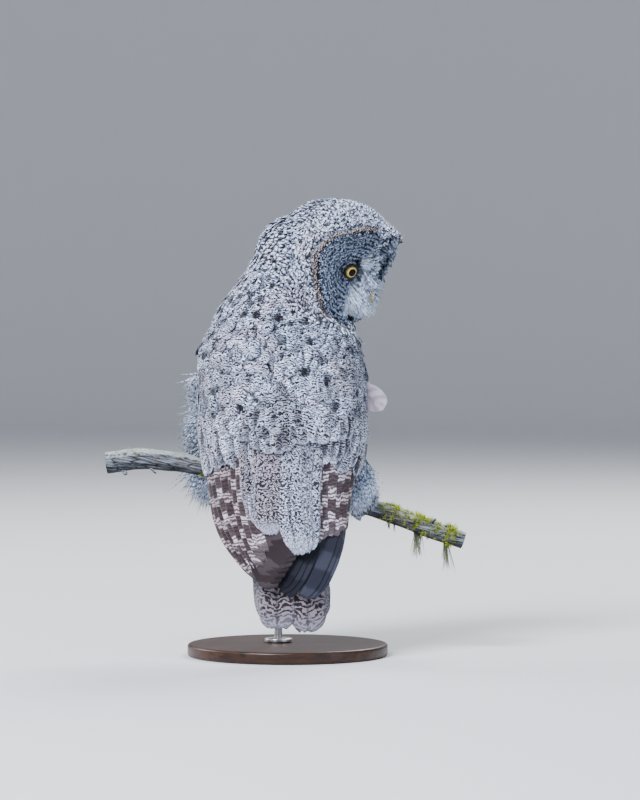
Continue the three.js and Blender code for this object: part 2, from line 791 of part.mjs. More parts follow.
// The feathered shank down to the ankle, with short locks over the foot and long ones past the branch.
function leg({ x, hip, wide, fan }, grow) {
  const foot = perchAt(x);
  const ankle = roundPerch(foot, 0, 0, 2 * TOE.radius + 3);
  const line = new THREE.CatmullRomCurve3([hip, hip.clone().lerp(ankle, 0.6).add(vec(0, 0, -2)), ankle]);
  const thick = (t) => roundEnds(t, 0.22, 0.3) * mix(wide, wide * 0.86, t) + grow;
  const shank = bar(line, thick, 12, 8, vec(0, 1, 0));
  const vary = seeded(fan.face > 0 ? 21 : 22);
  const root = line.getPoint(0.5);
  const short = Array.from({ length: 3 }, (_, i) => {
    const angle = fan.face * (0.4 + (i / 2) * 2.4) + 0.2 * vary();
    const way = vec(Math.cos(angle), -Math.sin(angle), 0);
    const start = root.clone().addScaledVector(way, wide * 0.6).add(vec(0, 0, 4));
    const end = ankle.clone().addScaledVector(way, wide - 2).add(vec(0, 0, -14 - 6 * vary()));
    const middle = start.clone().lerp(end, 0.5).addScaledVector(way, 5);
    return lock([start, middle, end], vec(0, 0, 1).cross(way).normalize(), 10, grow);
  });
  const long = Array.from({ length: fan.count }, (_, i) => {
    const f = i / (fan.count - 1);
    const over = roundPerch(foot, 0, 0, 0).y + fan.face * (foot.radius + 9 + 5 * (i % 2));
    const outer = fan.face > 0 ? 1 - f : f;
    const end = vec(mix(fan.from, fan.to, f), over + fan.face * 3, fan.low + 10 * vary() + 26 * outer ** 2);
    const start = root.clone().add(vec(mix(-12, 12, f), fan.face * 12, 2));
    const middle = start.clone().lerp(end, 0.5);
    middle.y = over + fan.face * 4;
    middle.z += 9;
    return lock([start, middle, end], vec(1, 0, 0), 10, grow);
  });
  return joined([shank, ...short, ...long]);
}

function foot(grip, grow) {
  const middle = roundPerch(grip, 0, 0, TOE.radius + 2);
  const ball = form(8, 5, (round, t) => {
    const [polar, angle] = [Math.PI * t, 2 * Math.PI * round];
    const out = vec(Math.sin(polar) * Math.cos(angle), Math.sin(polar) * Math.sin(angle), Math.cos(polar));
    return out.multiply(vec(12 + grow, 10 + grow, 9 + grow)).add(middle);
  });
  return joined([ball, ...TOES.map((t) => toe(grip, t, grow))]);
}

// Loose plumes that stand out from the left flank beyond the wing.
const PLUMES = [
  { count: 5, s: [222, 234], z: [428, 388], reach: 53, fall: 14, half: 10 },
  { count: 4, s: [220, 232], z: [372, 336], reach: 48, fall: 40, half: 10 },
];

function plumes(grow) {
  const vary = seeded(5);
  return PLUMES.flatMap(({ count, s, z, reach, fall, half }) =>
    Array.from({ length: count }, (_, i) => {
      const root = onBody(-mix(...s, vary()), mix(...z, i / (count - 1)), -7);
      const end = root.clone().add(vec(-reach + 5 * vary(), 6 * vary(), -fall - 8 * vary()));
      const middle = root.clone().lerp(end, 0.5).add(vec(-2, 2, 5));
      return lock([root, middle, end], vec(0, 0.5, 1).normalize(), half, grow);
    }),
  );
}

// Display stand: a turned wooden disc, a steel rod and its collar

function turned(profile, segments, x, y) {
  const g = new THREE.LatheGeometry(profile.map(([r, z]) => new THREE.Vector2(r, z)), segments);
  return solid(g.rotateX(Math.PI / 2).translate(x, y, 0));
}

function standBase() {
  const { radius, thick, chamfer, x, y } = BASE;
  return turned(
    [
      [0, 0],
      [radius - chamfer, 0],
      [radius, chamfer],
      [radius, thick - 2 * chamfer],
      [radius - chamfer, thick],
      [0, thick],
    ],
    40,
    x,
    y,
  );
}

function standCollar() {
  const low = BASE.thick + GAP;
  return turned(
    [
      [0, low],
      [ROD.collarRadius, low],
      [ROD.collarRadius, low + ROD.collarThick - 2],
      [ROD.collarRadius - 2, low + ROD.collarThick],
      [0, low + ROD.collarThick],
    ],
    20,
    ROD.x,
    0,
  );
}

function standRod() {
  const low = BASE.thick + ROD.collarThick + 2 * GAP;
  const high = perchAt(ROD.x).point.z;
  return turned(
    [
      [0, low],
      [ROD.radius, low],
      [ROD.radius, high],
      [0, high],
    ],
    20,
    ROD.x,
    0,
  );
}

// Putting it together

const owl = new THREE.Group();
const MATERIALS = Object.fromEntries(
  Object.entries(COLOURS).map(([name, color]) => [
    name,
    new THREE.MeshStandardMaterial({
      name,
      color,
      roughness: { steel: 0.35, eye: 0.1, bill: 0.4, claw: 0.35, wood: 0.45 }[name] ?? 0.9,
      metalness: name === "steel" ? 0.9 : 0,
    }),
  ]),
);

function node(name, shape, material) {
  const mesh = whole(shape).getMesh();
  const g = new THREE.BufferGeometry();
  const corners = new Float32Array(mesh.numVert * 3);
  for (let i = 0; i < mesh.numVert; i++)
    corners.set(mesh.vertProperties.subarray(i * mesh.numProp, i * mesh.numProp + 3), i * 3);
  g.setAttribute("position", new THREE.BufferAttribute(corners, 3));
  g.setIndex(new THREE.BufferAttribute(new Uint32Array(mesh.triVerts), 1));
  g.computeVertexNormals();
  const made = new THREE.Mesh(g, MATERIALS[material]);
  made.name = name;
  owl.add(made);
}

const array = (v) => [v.x, v.y, v.z];
const above = (s, normal, at) => s.trimByPlane(array(normal), at);
const below = (s, normal, at) => s.trimByPlane(array(normal.clone().negate()), -at);

const perchCut = branch(GAP);
const trunkCut = trunk(GAP);
const headNormal = FACE.forward.clone().multiplyScalar(0.6).addScaledVector(FACE.up, 0.8).normalize();
const headAt = headNormal.dot(HEAD.centre) - 48;
const neckAt = NECK_TILT.z * NECK_Z;

const flesh = joined([trunk(0), skull(0)]);
const overNeck = above(flesh, NECK_TILT, neckAt + GAP / 2);
let head = joined([above(overNeck, headNormal, headAt + GAP / 2), lids(1), lids(-1)]);
head = head.subtract(eyeball(1, GAP)).subtract(eyeball(-1, GAP));
const headCut = skull(GAP);
const upper = upperBill(0).subtract(headCut).subtract(joined([nostril(1), nostril(-1)]));
const lower = lowerBill().subtract(headCut).subtract(upperBill(GAP));

node("head", head, "plumage");
node("neck", below(overNeck, headNormal, headAt - GAP / 2), "plumage");
node("eye_right", eyeball(1, 0), "eye");
node("eye_left", eyeball(-1, 0), "eye");
node("bill_upper", upper, "bill");
node("bill_lower", lower, "bill");

const torso = joined([below(flesh, NECK_TILT, neckAt - GAP / 2), ...plumes(0)]).subtract(perchCut);
const torsoCut = joined([trunkCut, ...plumes(GAP)]);
node("torso", torso, "plumage");
const legsCut = joined(Object.values(LEGS).map((l) => leg(l, GAP)));
for (const name of ["right", "left"]) {
  node(`wing_${name}`, wing(name).subtract(torsoCut).subtract(legsCut), "wing");
}
node("tail", tail().subtract(trunkCut), "tail");

for (const [name, place] of Object.entries(LEGS)) {
  const grip = perchAt(place.x);
  const claws = TOES.map((t) => claw(grip, t, GAP));
  const footCut = joined([foot(grip, GAP), ...claws]);
  node(`leg_${name}`, leg(place, 0).subtract(perchCut).subtract(torsoCut).subtract(footCut), "down");
  node(`foot_${name}`, foot(grip, 0).subtract(perchCut).subtract(torsoCut).subtract(joined(claws)), "down");
  for (const t of TOES) {
    node(`claw_${name}_${t.name}`, claw(grip, t, 0).subtract(perchCut).subtract(torsoCut), "claw");
  }
}

node("perch", perch(), "bark");
node("stand_base", standBase(), "wood");
node("stand_collar", standCollar(), "steel");
node("stand_rod", standRod().subtract(perchCut), "steel");

export default owl;
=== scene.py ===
# A life-size great grey owl on a cut length of dead branch, held by a plain display stand.
# Metres. +Z is up, +Y is the way the breast faces, +X is the bird's right side. Sizes are given in millimetres.
import math

import bpy
import numpy as np
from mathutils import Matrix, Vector, noise
from mathutils.bvhtree import BVHTree
from mathutils.kdtree import KDTree


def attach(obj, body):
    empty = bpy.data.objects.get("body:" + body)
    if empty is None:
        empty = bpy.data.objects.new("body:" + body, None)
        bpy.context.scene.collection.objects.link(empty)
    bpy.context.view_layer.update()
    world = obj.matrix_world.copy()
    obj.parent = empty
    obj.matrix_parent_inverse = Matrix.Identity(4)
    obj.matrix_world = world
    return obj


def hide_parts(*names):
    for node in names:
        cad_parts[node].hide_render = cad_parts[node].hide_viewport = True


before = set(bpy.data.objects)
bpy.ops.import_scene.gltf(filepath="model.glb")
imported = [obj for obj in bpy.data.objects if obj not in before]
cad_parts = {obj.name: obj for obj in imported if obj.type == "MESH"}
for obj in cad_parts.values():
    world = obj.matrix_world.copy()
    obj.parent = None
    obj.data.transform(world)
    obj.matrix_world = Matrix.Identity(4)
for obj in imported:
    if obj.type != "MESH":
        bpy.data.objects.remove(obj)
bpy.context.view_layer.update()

scene = bpy.context.scene
MM = 0.001


# The studio: a pale seamless floor that curves up all round, with large soft lamps. The camera looks along +Y
# from slightly above, as the photograph was taken, from far off through a long lens.
def linear(code):
    """An sRGB hex colour as linear red, green, blue and alpha."""
    channels = [int(code[i : i + 2], 16) / 255 for i in (1, 3, 5)]
    return tuple(c / 12.92 if c <= 0.04045 else ((c + 0.055) / 1.055) ** 2.4 for c in channels) + (1.0,)


def feed(node, inputs):
    """Links sockets to a node's inputs and sets the others, given by name in a dict or in order in a tuple."""
    for key, value in inputs.items() if isinstance(inputs, dict) else enumerate(inputs):
        if isinstance(value, bpy.types.NodeSocket):
            node.id_data.links.new(value, node.inputs[key])
        else:
            node.inputs[key].default_value = value


def add(tree, kind, inputs=(), out=0, stops=(), **settings):
    """Adds a node with its settings, inputs and colour stops, and returns one of its outputs."""
    node = tree.nodes.new(kind if "Node" in kind else "ShaderNode" + kind)
    for key, value in settings.items():
        setattr(node, key, value)
    feed(node, inputs)
    for k, (position, code) in enumerate(stops):
        # A ramp's own two stops are its first and last
        stop = node.color_ramp.elements
        stop = stop[0] if k == 0 else stop[-1] if k == len(stops) - 1 else stop.new(position)
        stop.position, stop.color = position, linear(code)
    return node.outputs[out] if len(node.outputs) else node


# How a node mixes two colours: one over the other, or as their product
BLENDED = {"out": 2, "data_type": "RGBA"}
MULTIPLIED = {**BLENDED, "blend_type": "MULTIPLY"}


def finish(name, **sockets):
    """A new material, its tree and its shader, with the shader's sockets set."""
    material = bpy.data.materials.new(name)
    material.use_nodes = True
    shader = material.node_tree.nodes["Principled BSDF"]
    feed(shader, {key.replace("_", " "): value for key, value in sockets.items()})
    return material, material.node_tree, shader


def mesh_piece(name, verts, faces, material=None):
    """A smooth mesh object from points in millimetres."""
    mesh = bpy.data.meshes.new(name)
    mesh.from_pydata((np.asarray(verts, float) * MM).tolist(), [], faces)
    mesh.shade_smooth()
    piece = bpy.data.objects.new(name, mesh)
    scene.collection.objects.link(piece)
    if material:
        mesh.materials.append(material)
    return piece


def grid_faces(rows, columns, closed=False, start=0):
    """Quads of a net of rows by columns of points. A closed net joins its last column to its first."""

    def corner(r, c):
        return start + r * columns + c % columns

    cells = [(r, c) for r in range(rows - 1) for c in range(columns if closed else columns - 1)]
    return [(corner(r, c), corner(r, c + 1), corner(r + 1, c + 1), corner(r + 1, c)) for r, c in cells]


STUDIO = {"flat": 8000, "curve": 3000, "wall": 9000}
around = np.linspace(0, 2 * np.pi, 97)[:-1]
profile = [(1, 0), (STUDIO["flat"], 0)]
profile += [
    (STUDIO["flat"] + STUDIO["curve"] * math.sin(a), STUDIO["curve"] * (1 - math.cos(a)))
    for a in np.linspace(0.1, math.pi / 2, 14)
]
profile += [(STUDIO["flat"] + STUDIO["curve"], STUDIO["wall"])]
verts = [(r * math.cos(a), r * math.sin(a), z) for r, z in profile for a in around]
paper, _, _ = finish("matt_backdrop_paper", Roughness=0.9, Base_Color=linear("#d9dadc"))
floor = mesh_piece("studio_floor", verts, grid_faces(len(profile), 96, closed=True) + [tuple(range(96))], paper)

world = bpy.data.worlds.new("studio")
scene.world = world
world.use_nodes = True
feed(world.node_tree.nodes["Background"], {"Color": linear("#dfe5ee"), "Strength": 0.42})
for name, place, energy, size, tone in [
    ("key_lamp", (-2.1, -3.3, 3.8), 360, 1.8, "#f4f6ff"),
    ("fill_lamp", (3.6, -3.0, 1.6), 45, 3.0, "#e2ecff"),
    ("rim_lamp", (1.6, 3.2, 3.6), 150, 2.0, "#ffffff"),
    ("rim_lamp_left", (-3.4, 1.8, 2.0), 70, 1.8, "#ffffff"),
]:
    lamp = bpy.data.lights.new(name, "AREA")
    lamp.energy = energy
    lamp.size = size
    lamp.color = linear(tone)[:3]
    holder = bpy.data.objects.new(name, lamp)
    holder.location = place
    aim = Vector((0.02, 0, 0.38)) - Vector(place)
    holder.rotation_euler = aim.to_track_quat("-Z", "Y").to_euler()
    scene.collection.objects.link(holder)

CAMERA = {"target": (0.0525, 0.0, 0.382), "distance": 6.0, "elevation": math.radians(2)}
lens = bpy.data.cameras.new("camera")
lens.lens = 180
lens.sensor_width = 36
lens.clip_end = 60
camera = bpy.data.objects.new("camera", lens)
away = Vector((0, -math.cos(CAMERA["elevation"]), math.sin(CAMERA["elevation"])))
camera.location = Vector(CAMERA["target"]) + away * CAMERA["distance"]
camera.rotation_euler = (-away).to_track_quat("-Z", "Y").to_euler()
scene.collection.objects.link(camera)
scene.camera = camera
scene.view_settings.look = "AgX - Medium High Contrast"


# The stand's base is one turned disc of walnut with a rounded edge, stained dark and given a satin lacquer.
# A steel collar is screwed down on it, and a plain steel rod runs from the collar up into the branch.
def lathed(name, profile, x, y, material, steps=128):
    """A form turned about an upright axis at x, y from (radius, height) pairs, closed on the axis."""
    turns = np.linspace(0, 2 * np.pi, steps, endpoint=False)
    inner = profile[1:-1]
    verts = [(x + r * math.cos(a), y + r * math.sin(a), z) for r, z in inner for a in turns]
    low, high = len(verts), len(verts) + 1
    verts += [(x, y, profile[0][1]), (x, y, profile[-1][1])]
    faces = grid_faces(len(inner), steps, closed=True)
    faces += [(low, (i + 1) % steps, i) for i in range(steps)]
    top = (len(inner) - 1) * steps
    faces += [(high, top + i, top + (i + 1) % steps) for i in range(steps)]
    return mesh_piece(name, verts, faces, material)


def rounded(r, z0, z1, edge, steps=6):
    """The profile of a disc from the axis out and back, its two rims rounded by edge."""
    turn = np.linspace(0, math.pi / 2, steps)
    low = [(r - edge + edge * math.sin(a), z0 + edge - edge * math.cos(a)) for a in turn]
    high = [(r - edge + edge * math.cos(a), z1 - edge + edge * math.sin(a)) for a in turn]
    return [(0, z0), (r - edge - 1, z0), *low, *high, (r - edge - 1, z1), (0, z1)]


BASE = {"x": 4, "y": -18, "radius": 150, "thick": 18}
ROD = {"x": -10, "radius": 6, "collar": 21, "collar_low": 18.3, "collar_high": 24.3, "low": 24.6, "high": 252}

# Walnut: close brown figure in long streaks, pores as short dark dashes, satin lacquer
walnut, tree, shader = finish("walnut_turned_lacquered", Roughness=0.42, Coat_Weight=0.25, Coat_Roughness=0.3)
place = add(tree, "TexCoord", out="Object")
along_grain = add(tree, "Mapping", {"Vector": place, "Scale": (3, 26, 26)})
figure = add(tree, "TexNoise", {"Vector": along_grain, "Scale": 2.2, "Detail": 6.0, "Distortion": 1.3})
pore_way = add(tree, "Mapping", {"Vector": place, "Scale": (60, 900, 900)})
pores = add(tree, "TexNoise", {"Vector": pore_way, "Scale": 1.0, "Detail": 2.0})
colour = add(tree, "ValToRGB", (figure,), stops=[(0.3, "#24160e"), (0.72, "#5a3a25")])
darker = add(tree, "MapRange", (pores, 0.35, 0.6, 0.55, 1.0))
mixed = add(tree, "Mix", {0: 1.0, 6: colour, 7: darker}, **MULTIPLIED)
bump = add(tree, "Bump", {"Strength": 0.25, "Distance": 0.0004, "Height": pores})
feed(shader, {"Base Color": mixed, "Normal": bump})
base = lathed("stand_base_walnut", rounded(BASE["radius"], 0, BASE["thick"], 4), BASE["x"], BASE["y"], walnut, 192)

# Brushed steel: neutral grey, fine turning marks round the axis
steel, tree, shader = finish("steel_brushed", Metallic=1.0, Roughness=0.32)
place = add(tree, "TexCoord", out="Object")
stretch = add(tree, "Mapping", {"Vector": place, "Scale": (120, 120, 5200)})
brushing = add(tree, "TexNoise", {"Vector": stretch, "Scale": 1.0, "Detail": 3.0})
tint = add(tree, "MapRange", (brushing, 0.3, 0.7, 0.5, 0.62))
bump = add(tree, "Bump", {"Strength": 0.12, "Distance": 0.0002, "Height": brushing})
feed(shader, {"Base Color": tint, "Normal": bump})
ring = rounded(ROD["collar"], ROD["collar_low"], ROD["collar_high"], 1.6)
collar = lathed("stand_collar_steel", ring, ROD["x"], 0, steel)
rod = lathed("stand_rod_steel", rounded(ROD["radius"], ROD["low"], ROD["high"], 0.5), ROD["x"], 0, steel, 48)


def fitted(piece, slot, *nodes):
    """Fixes a piece to the one body and lets it stand for nodes of the solids, which it hides. Its slot is not used."""
    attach(piece, "root")
    if nodes:
        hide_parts(*nodes)


fitted(base, "wood_base", "stand_base")
fitted(collar, "metal", "stand_collar")
fitted(rod, "metal", "stand_rod")


# The perch is a cut length of a dead, barkless limb, weathered silver grey with long drying cracks. Stubs of
# broken twigs stand off it, and its two ends are sawn.
def smooth_line(points, t):
    """Points at t, 0 to 1, on a centripetal curve through the given ones."""
    p = np.asarray(points, float)
    p = np.vstack([2 * p[0] - p[1], p, 2 * p[-1] - p[-2]])
    t = np.atleast_1d(np.asarray(t, float)) * (len(p) - 3)
    i = np.clip(t.astype(int), 0, len(p) - 4)
    w = (t - i)[:, None]
    x0, x1, x2, x3 = p[i], p[i + 1], p[i + 2], p[i + 3]
    gap = [np.sqrt(np.linalg.norm(b - a, axis=1))[:, None] for a, b in ((x0, x1), (x1, x2), (x2, x3))]
    m1 = ((x1 - x0) / gap[0] - (x2 - x0) / (gap[0] + gap[1]) + (x2 - x1) / gap[1]) * gap[1]
    m2 = ((x2 - x1) / gap[1] - (x3 - x1) / (gap[1] + gap[2]) + (x3 - x2) / gap[2]) * gap[1]
    c2, c3 = -3 * x1 + 3 * x2 - 2 * m1 - m2, 2 * x1 - 2 * x2 + m1 + m2
    return x1 + m1 * w + c2 * w**2 + c3 * w**3


def unit(v):
    return v / np.maximum(np.linalg.norm(v, axis=-1, keepdims=True), 1e-9)


def ease(x, a, b):
    t = np.clip((np.asarray(x, float) - a) / (b - a), 0, 1)
    return t * t * (3 - 2 * t)


def mix(a, b, f):
    return a + (b - a) * f


PERCH_LINE = [
    (-268, 4, 287),
    (-217, 2, 293.5),
    (-148, 0, 286.6),
    (-117, -1, 279),
    (0, 0, 250.6),
    (134, 0, 218.2),
    (174, 2, 204.3),
    (214, 5, 188),
    (268, 8, 170.5),
]
PERCH = {"thick_end": 16, "thin_end": 12.5, "around": 72, "along": 340}


def perch_radius(t):
    return mix(PERCH["thick_end"], PERCH["thin_end"], ease(t, 0, 0.45))


def perch_frame(t):
    """Middle line, tangent, side and up directions of the branch at t."""
    t = np.atleast_1d(t)
    step = 1e-3
    middle = smooth_line(PERCH_LINE, t)
    forward = unit(smooth_line(PERCH_LINE, np.minimum(t + step, 1)) - smooth_line(PERCH_LINE, np.maximum(t - step, 0)))
    side = unit(np.cross(forward, (0, 0, 1)))
    return middle, forward, side, np.cross(side, forward)


def perch_at(x):
    """Where the branch's middle line passes x: its t."""
    ts = np.linspace(0, 1, 2001)
    return float(np.interp(x, smooth_line(PERCH_LINE, ts)[:, 0], ts))


def rough(p, scale, depth=4):
    """Smooth seeded roughness from -1 to 1 at a point in millimetres."""
    return noise.fractal(Vector(p) / scale, 1.0, 2.0, depth)


def limb(middle, side, up, radius, rough_by, steps, grain):
    """Points of a round limb with lengthwise ribs and knots."""
    turns = np.linspace(0, 2 * np.pi, steps, endpoint=False)
    verts = []
    for k in range(len(middle)):
        for a in turns:
            out = side[k] * math.cos(a) + up[k] * math.sin(a)
            ribs = rough((math.cos(a) * grain, math.sin(a) * grain, k * 0.012), 1)
            lumps = rough(middle[k] + out * radius[k], 34)
            verts.append(middle[k] + out * radius[k] * (1 + rough_by * (0.75 * ribs + 0.6 * lumps)))
    return verts


ts = np.linspace(0, 1, PERCH["along"])
middle, forward, side, up = perch_frame(ts)
verts = limb(middle, side, up, perch_radius(ts), 0.085, PERCH["around"], 2.6)
faces = grid_faces(PERCH["along"], PERCH["around"], closed=True)
rings = len(verts)
n = PERCH["around"]
for end, sign in ((0, -1), (PERCH["along"] - 1, 1)):
    # Two smaller rings and a middle point close each sawn end
    rim = verts[end * n : end * n + n]
    hub = np.mean(rim, axis=0)
    for share in (0.94, 0.5):
        verts += [hub + (p - hub) * share + sign * forward[end] * 0.3 for p in rim]
    verts.append(hub + sign * forward[end] * 0.5)
    first, second, top = rings, rings + n, rings + 2 * n
    for i in range(n):
        j = (i + 1) % n
        loop = [(end * n + i, end * n + j, first + j, first + i), (first + i, first + j, second + j, second + i)]
        loop.append((second + i, second + j, top))
        faces += [f if sign > 0 else f[::-1] for f in loop]
    rings = len(verts)
TWIGS = [
    {"x": -217, "way": (0.7, -0.35, -0.62), "long": 34, "thick": 2.2},
    {"x": -246, "way": (0.3, -0.4, -0.85), "long": 24, "thick": 4.5},
    {"x": 158, "way": (-0.1, -0.2, -0.95), "long": 22, "thick": 1.8},
    {"x": 212, "way": (0.55, -0.5, 0.65), "long": 24, "thick": 3.5},
]
for twig in TWIGS:
    root = perch_frame(perch_at(twig["x"]))[0][0]
    way = unit(np.array(twig["way"]))
    t = np.linspace(0, 1, 14)
    bend = np.array([rough((twig["x"], k * 5, 0), 20, 2) for k in range(14)])
    line = root + way * twig["long"] * t[:, None] + np.cross(way, (0, 1, 0)) * (bend * 1.6)[:, None]
    across = unit(np.cross(way, (0.2, 1, 0)))
    over = np.cross(across, way)
    thick = twig["thick"] * (1 - 0.35 * t) * np.where(t > 0.95, 0.55, 1)
    start = len(verts)
    verts += limb(line, np.tile(across, (14, 1)), np.tile(over, (14, 1)), thick, 0.2, 12, 2.0)
    faces += grid_faces(14, 12, closed=True, start=start)
    faces += [tuple(start + 13 * 12 + i for i in range(12)), tuple(start + 11 - i for i in range(12))]

# Dead wood: silver-grey fibres with dark drying cracks along them, warm brown where it is worn, pale crusts and
# grey-green dust on top, and painted shade that darkens it to near black underneath
bark, tree, shader = finish("dead_wood_weathered", Roughness=0.88, Specular_IOR_Level=0.3)
place = add(tree, "TexCoord", out="Object")
turned_way = add(tree, "Mapping", {"Vector": place, "Rotation": (0, math.radians(-13), 0)})
long_way = add(tree, "Mapping", {"Vector": turned_way, "Scale": (34, 420, 420)})
fibre = add(tree, "TexNoise", {"Vector": long_way, "Scale": 1.0, "Detail": 5.0, "Distortion": 0.6})
crack_way = add(tree, "Mapping", {"Vector": turned_way, "Scale": (22, 190, 190)})
cracks = add(tree, "TexVoronoi", {"Vector": crack_way, "Scale": 1.0}, feature="DISTANCE_TO_EDGE")
blotch = add(tree, "TexNoise", {"Vector": place, "Scale": 38.0, "Detail": 5.0, "Roughness": 0.62})
crust = add(tree, "TexNoise", {"Vector": place, "Scale": 130.0, "Detail": 4.0, "Roughness": 0.7})
grey = add(tree, "ValToRGB", (fibre,), stops=[(0.33, "#3c3f44"), (0.66, "#9aa0a8")])
brown = add(tree, "MapRange", (blotch, 0.5, 0.68, 0.0, 0.75))
worn = add(tree, "Mix", {0: brown, 6: grey, 7: linear("#5c5047")}, **BLENDED)
split = add(tree, "MapRange", (cracks, 0.0, 0.07, 0.2, 1.0))
cracked = add(tree, "Mix", {0: 1.0, 6: worn, 7: split}, **MULTIPLIED)
facing = add(tree, "NewGeometry", out="Normal")
upward = add(tree, "SeparateXYZ", (facing,), out="Z")
dusted = add(tree, "Math", (upward, 0.55, crust), operation="MULTIPLY_ADD")
crusted = add(tree, "MapRange", (dusted, 0.72, 0.95, 0.0, 0.85))
pale = add(tree, "Mix", {0: crusted, 6: cracked, 7: linear("#b9c0bb")}, **BLENDED)
# Painted shade: the underside is darkened, the more the further it faces down
painted_shade_under = add(tree, "MapRange", (upward, -0.75, 0.0, 0.35, 1.0))
shaded = add(tree, "Mix", {0: 1.0, 6: pale, 7: painted_shade_under}, **MULTIPLIED)
height = add(tree, "Math", (fibre, split), operation="ADD")
bump = add(tree, "Bump", {"Strength": 0.8, "Distance": 0.0016, "Height": height})
feed(shader, {"Base Color": shaded, "Normal": bump})
fitted(mesh_piece("perch_dead_wood", verts, faces, bark), "bark", "perch")


# The bird under its feathers: one closed skin over the trunk, neck, head, wing arms, shanks, toes and the root of
# the tail. It follows the solids' form, further in by the depth of the coat, so no seam shows.
SECTIONS = np.array(
    [  # z, middle x, middle y, half width, reach to the back, reach to the breast
        (30, 12, -130, 76, 15, 10),
        (104, 11, -120, 80, 21, 14),
        (142, 6, -110, 84, 27, 20),
        (179, -1, -97, 88, 35, 28),
        (217, -6, -78, 94, 48, 40),
        (262, -6, -60, 103, 61, 40),
        (300, -3, -36, 114, 82, 66),
        (337, -3, -16, 118, 98, 88),
        (382, -3, -4, 120, 106, 104),
        (427, -6, 1, 120, 104, 107),
        (464, -7, 3, 118, 97, 100),
        (499, -4, 6, 107, 89, 92),
        (532, -8, 8, 84, 84, 88),
        (562, -2, 9, 66, 80, 84),
        (589, 4, 9, 56, 74, 78),
        (622, 13, 10, 52, 64, 68),
        (664, 20, 10, 50, 54, 58),
    ],
    float,
)
TRUNK = {"low": 236, "high": 664}
COAT_DEPTH = 5.0


def sections(z):
    """Middle x and y, half width and the two reaches of the body at heights z, smooth through SECTIONS."""
    z = np.asarray(z, float)
    rows = SECTIONS
    before, after = np.vstack([rows[:1], rows[:-1]]), np.vstack([rows[1:], rows[-1:]])
    slopes = (after - before)[:, 1:] / (after - before)[:, :1]
    i = np.clip(np.searchsorted(rows[:, 0], z) - 1, 0, len(rows) - 2)
    h = (rows[i + 1, 0] - rows[i, 0])[..., None]
    t = np.clip((z - rows[i, 0])[..., None] / h, 0, 1)
    a, b = rows[i, 1:], rows[i + 1, 1:]
    return (
        (2 * t**3 - 3 * t**2 + 1) * a
        + (t**3 - 2 * t**2 + t) * h * slopes[i]
        + (3 * t**2 - 2 * t**3) * b
        + (t**3 - t**2) * h * slopes[i + 1]
    )


def joined(*parts):
    """Arrays of numbers, one for each part of a point or record, as one row for each."""
    return np.stack(np.broadcast_arrays(*parts), axis=-1)


def around_body(z, angle, out, shrink=1.0):
    """The point at an angle from the middle of the back, positive to the right, out from the form."""
    x, y, half, back, front = np.moveaxis(sections(z), -1, 0)
    depth = np.where(np.cos(angle) > 0, back, front)
    return joined(x + (half + out) * np.sin(angle) * shrink, y - (depth + out) * np.cos(angle) * shrink, z)


def on_body(s, z, out):
    """The point that lies s round the body from the middle of the back, at height z, out from the form."""
    s, z, out = np.broadcast_arrays(np.asarray(s, float), np.asarray(z, float), np.asarray(out, float))
    turn = np.radians(np.arange(0, 181, 3))
    ring = around_body(z[..., None], turn, 0.0)
    steps = np.linalg.norm(np.diff(ring, axis=-2), axis=-1)
    reach = np.concatenate([np.zeros(steps.shape[:-1] + (1,)), np.cumsum(steps, axis=-1)], axis=-1)
    i = np.clip((reach <= np.abs(s)[..., None]).sum(-1) - 1, 0, len(turn) - 2)[..., None]
    low, high = np.take_along_axis(reach, i, -1)[..., 0], np.take_along_axis(reach, i + 1, -1)[..., 0]
    share = np.clip((np.abs(s) - low) / np.maximum(high - low, 1e-6), 0, 1)
    angle = np.sign(s) * np.radians(3) * (i[..., 0] + share)
    return around_body(z, angle, out)


HEAD = {"centre": np.array([79.0, 10.0, 591.0]), "turn": math.radians(28), "pitch": math.radians(27)}
HEAD |= {"side": 98, "top": 92, "under": 88, "back": 101}
DISC = {"side": 94, "high": 74, "middle": 50, "flare": 13}
RIM_DEGREES = [0, 16, 30, 46, 59, 67, 82, 104, 117, 150, 180]
RIM_FORWARD = [53, 53, 50, 42, 25, 19.5, 17, 34, 48, 56, 57]
EYE = {"side": 28.5, "out": 35, "up": 3, "radius": 14, "splay": math.radians(31), "opening": 9.2, "lid": 1.9}
ct, st = math.cos(HEAD["turn"]), math.sin(HEAD["turn"])
cp, sp = math.cos(HEAD["pitch"]), math.sin(HEAD["pitch"])
AHEAD = np.array([cp * ct, -cp * st, -sp])
CROWNWARD = np.array([sp * ct, -sp * st, cp])
RIGHTWARD = np.cross(AHEAD, CROWNWARD)


def on_head(out, right, up):
    """A point of the head: out along the face's line of sight, to the bird's right, and up."""
    out, right, up = (np.asarray(v, float)[..., None] for v in np.broadcast_arrays(out, right, up))
    return HEAD["centre"] + out * AHEAD + right * RIGHTWARD + up * CROWNWARD


def disc_rim(angle):
    """How far the rim of the facial discs lies from the middle of the face, at an angle from straight up."""
    power = np.where(np.cos(angle) > 0, 3.0, 2.5)
    across = np.abs(np.sin(angle) / DISC["side"]) ** power
    upright = np.abs(np.cos(angle) / DISC["high"]) ** power
    cleft = 13 * np.exp(-((np.minimum(angle, 2 * np.pi - angle) / 0.3) ** 2))
    return (across + upright) ** (-1 / power) - cleft


def rim_out(angle):
    """How far forward the rim lies."""
    turn = np.degrees(np.minimum(angle, 2 * np.pi - angle))
    flare = np.where(angle > np.pi, DISC["flare"] * np.exp(-(((turn - 52) / 18) ** 2)), 0)
    return np.interp(turn, RIM_DEGREES, RIM_FORWARD) + flare


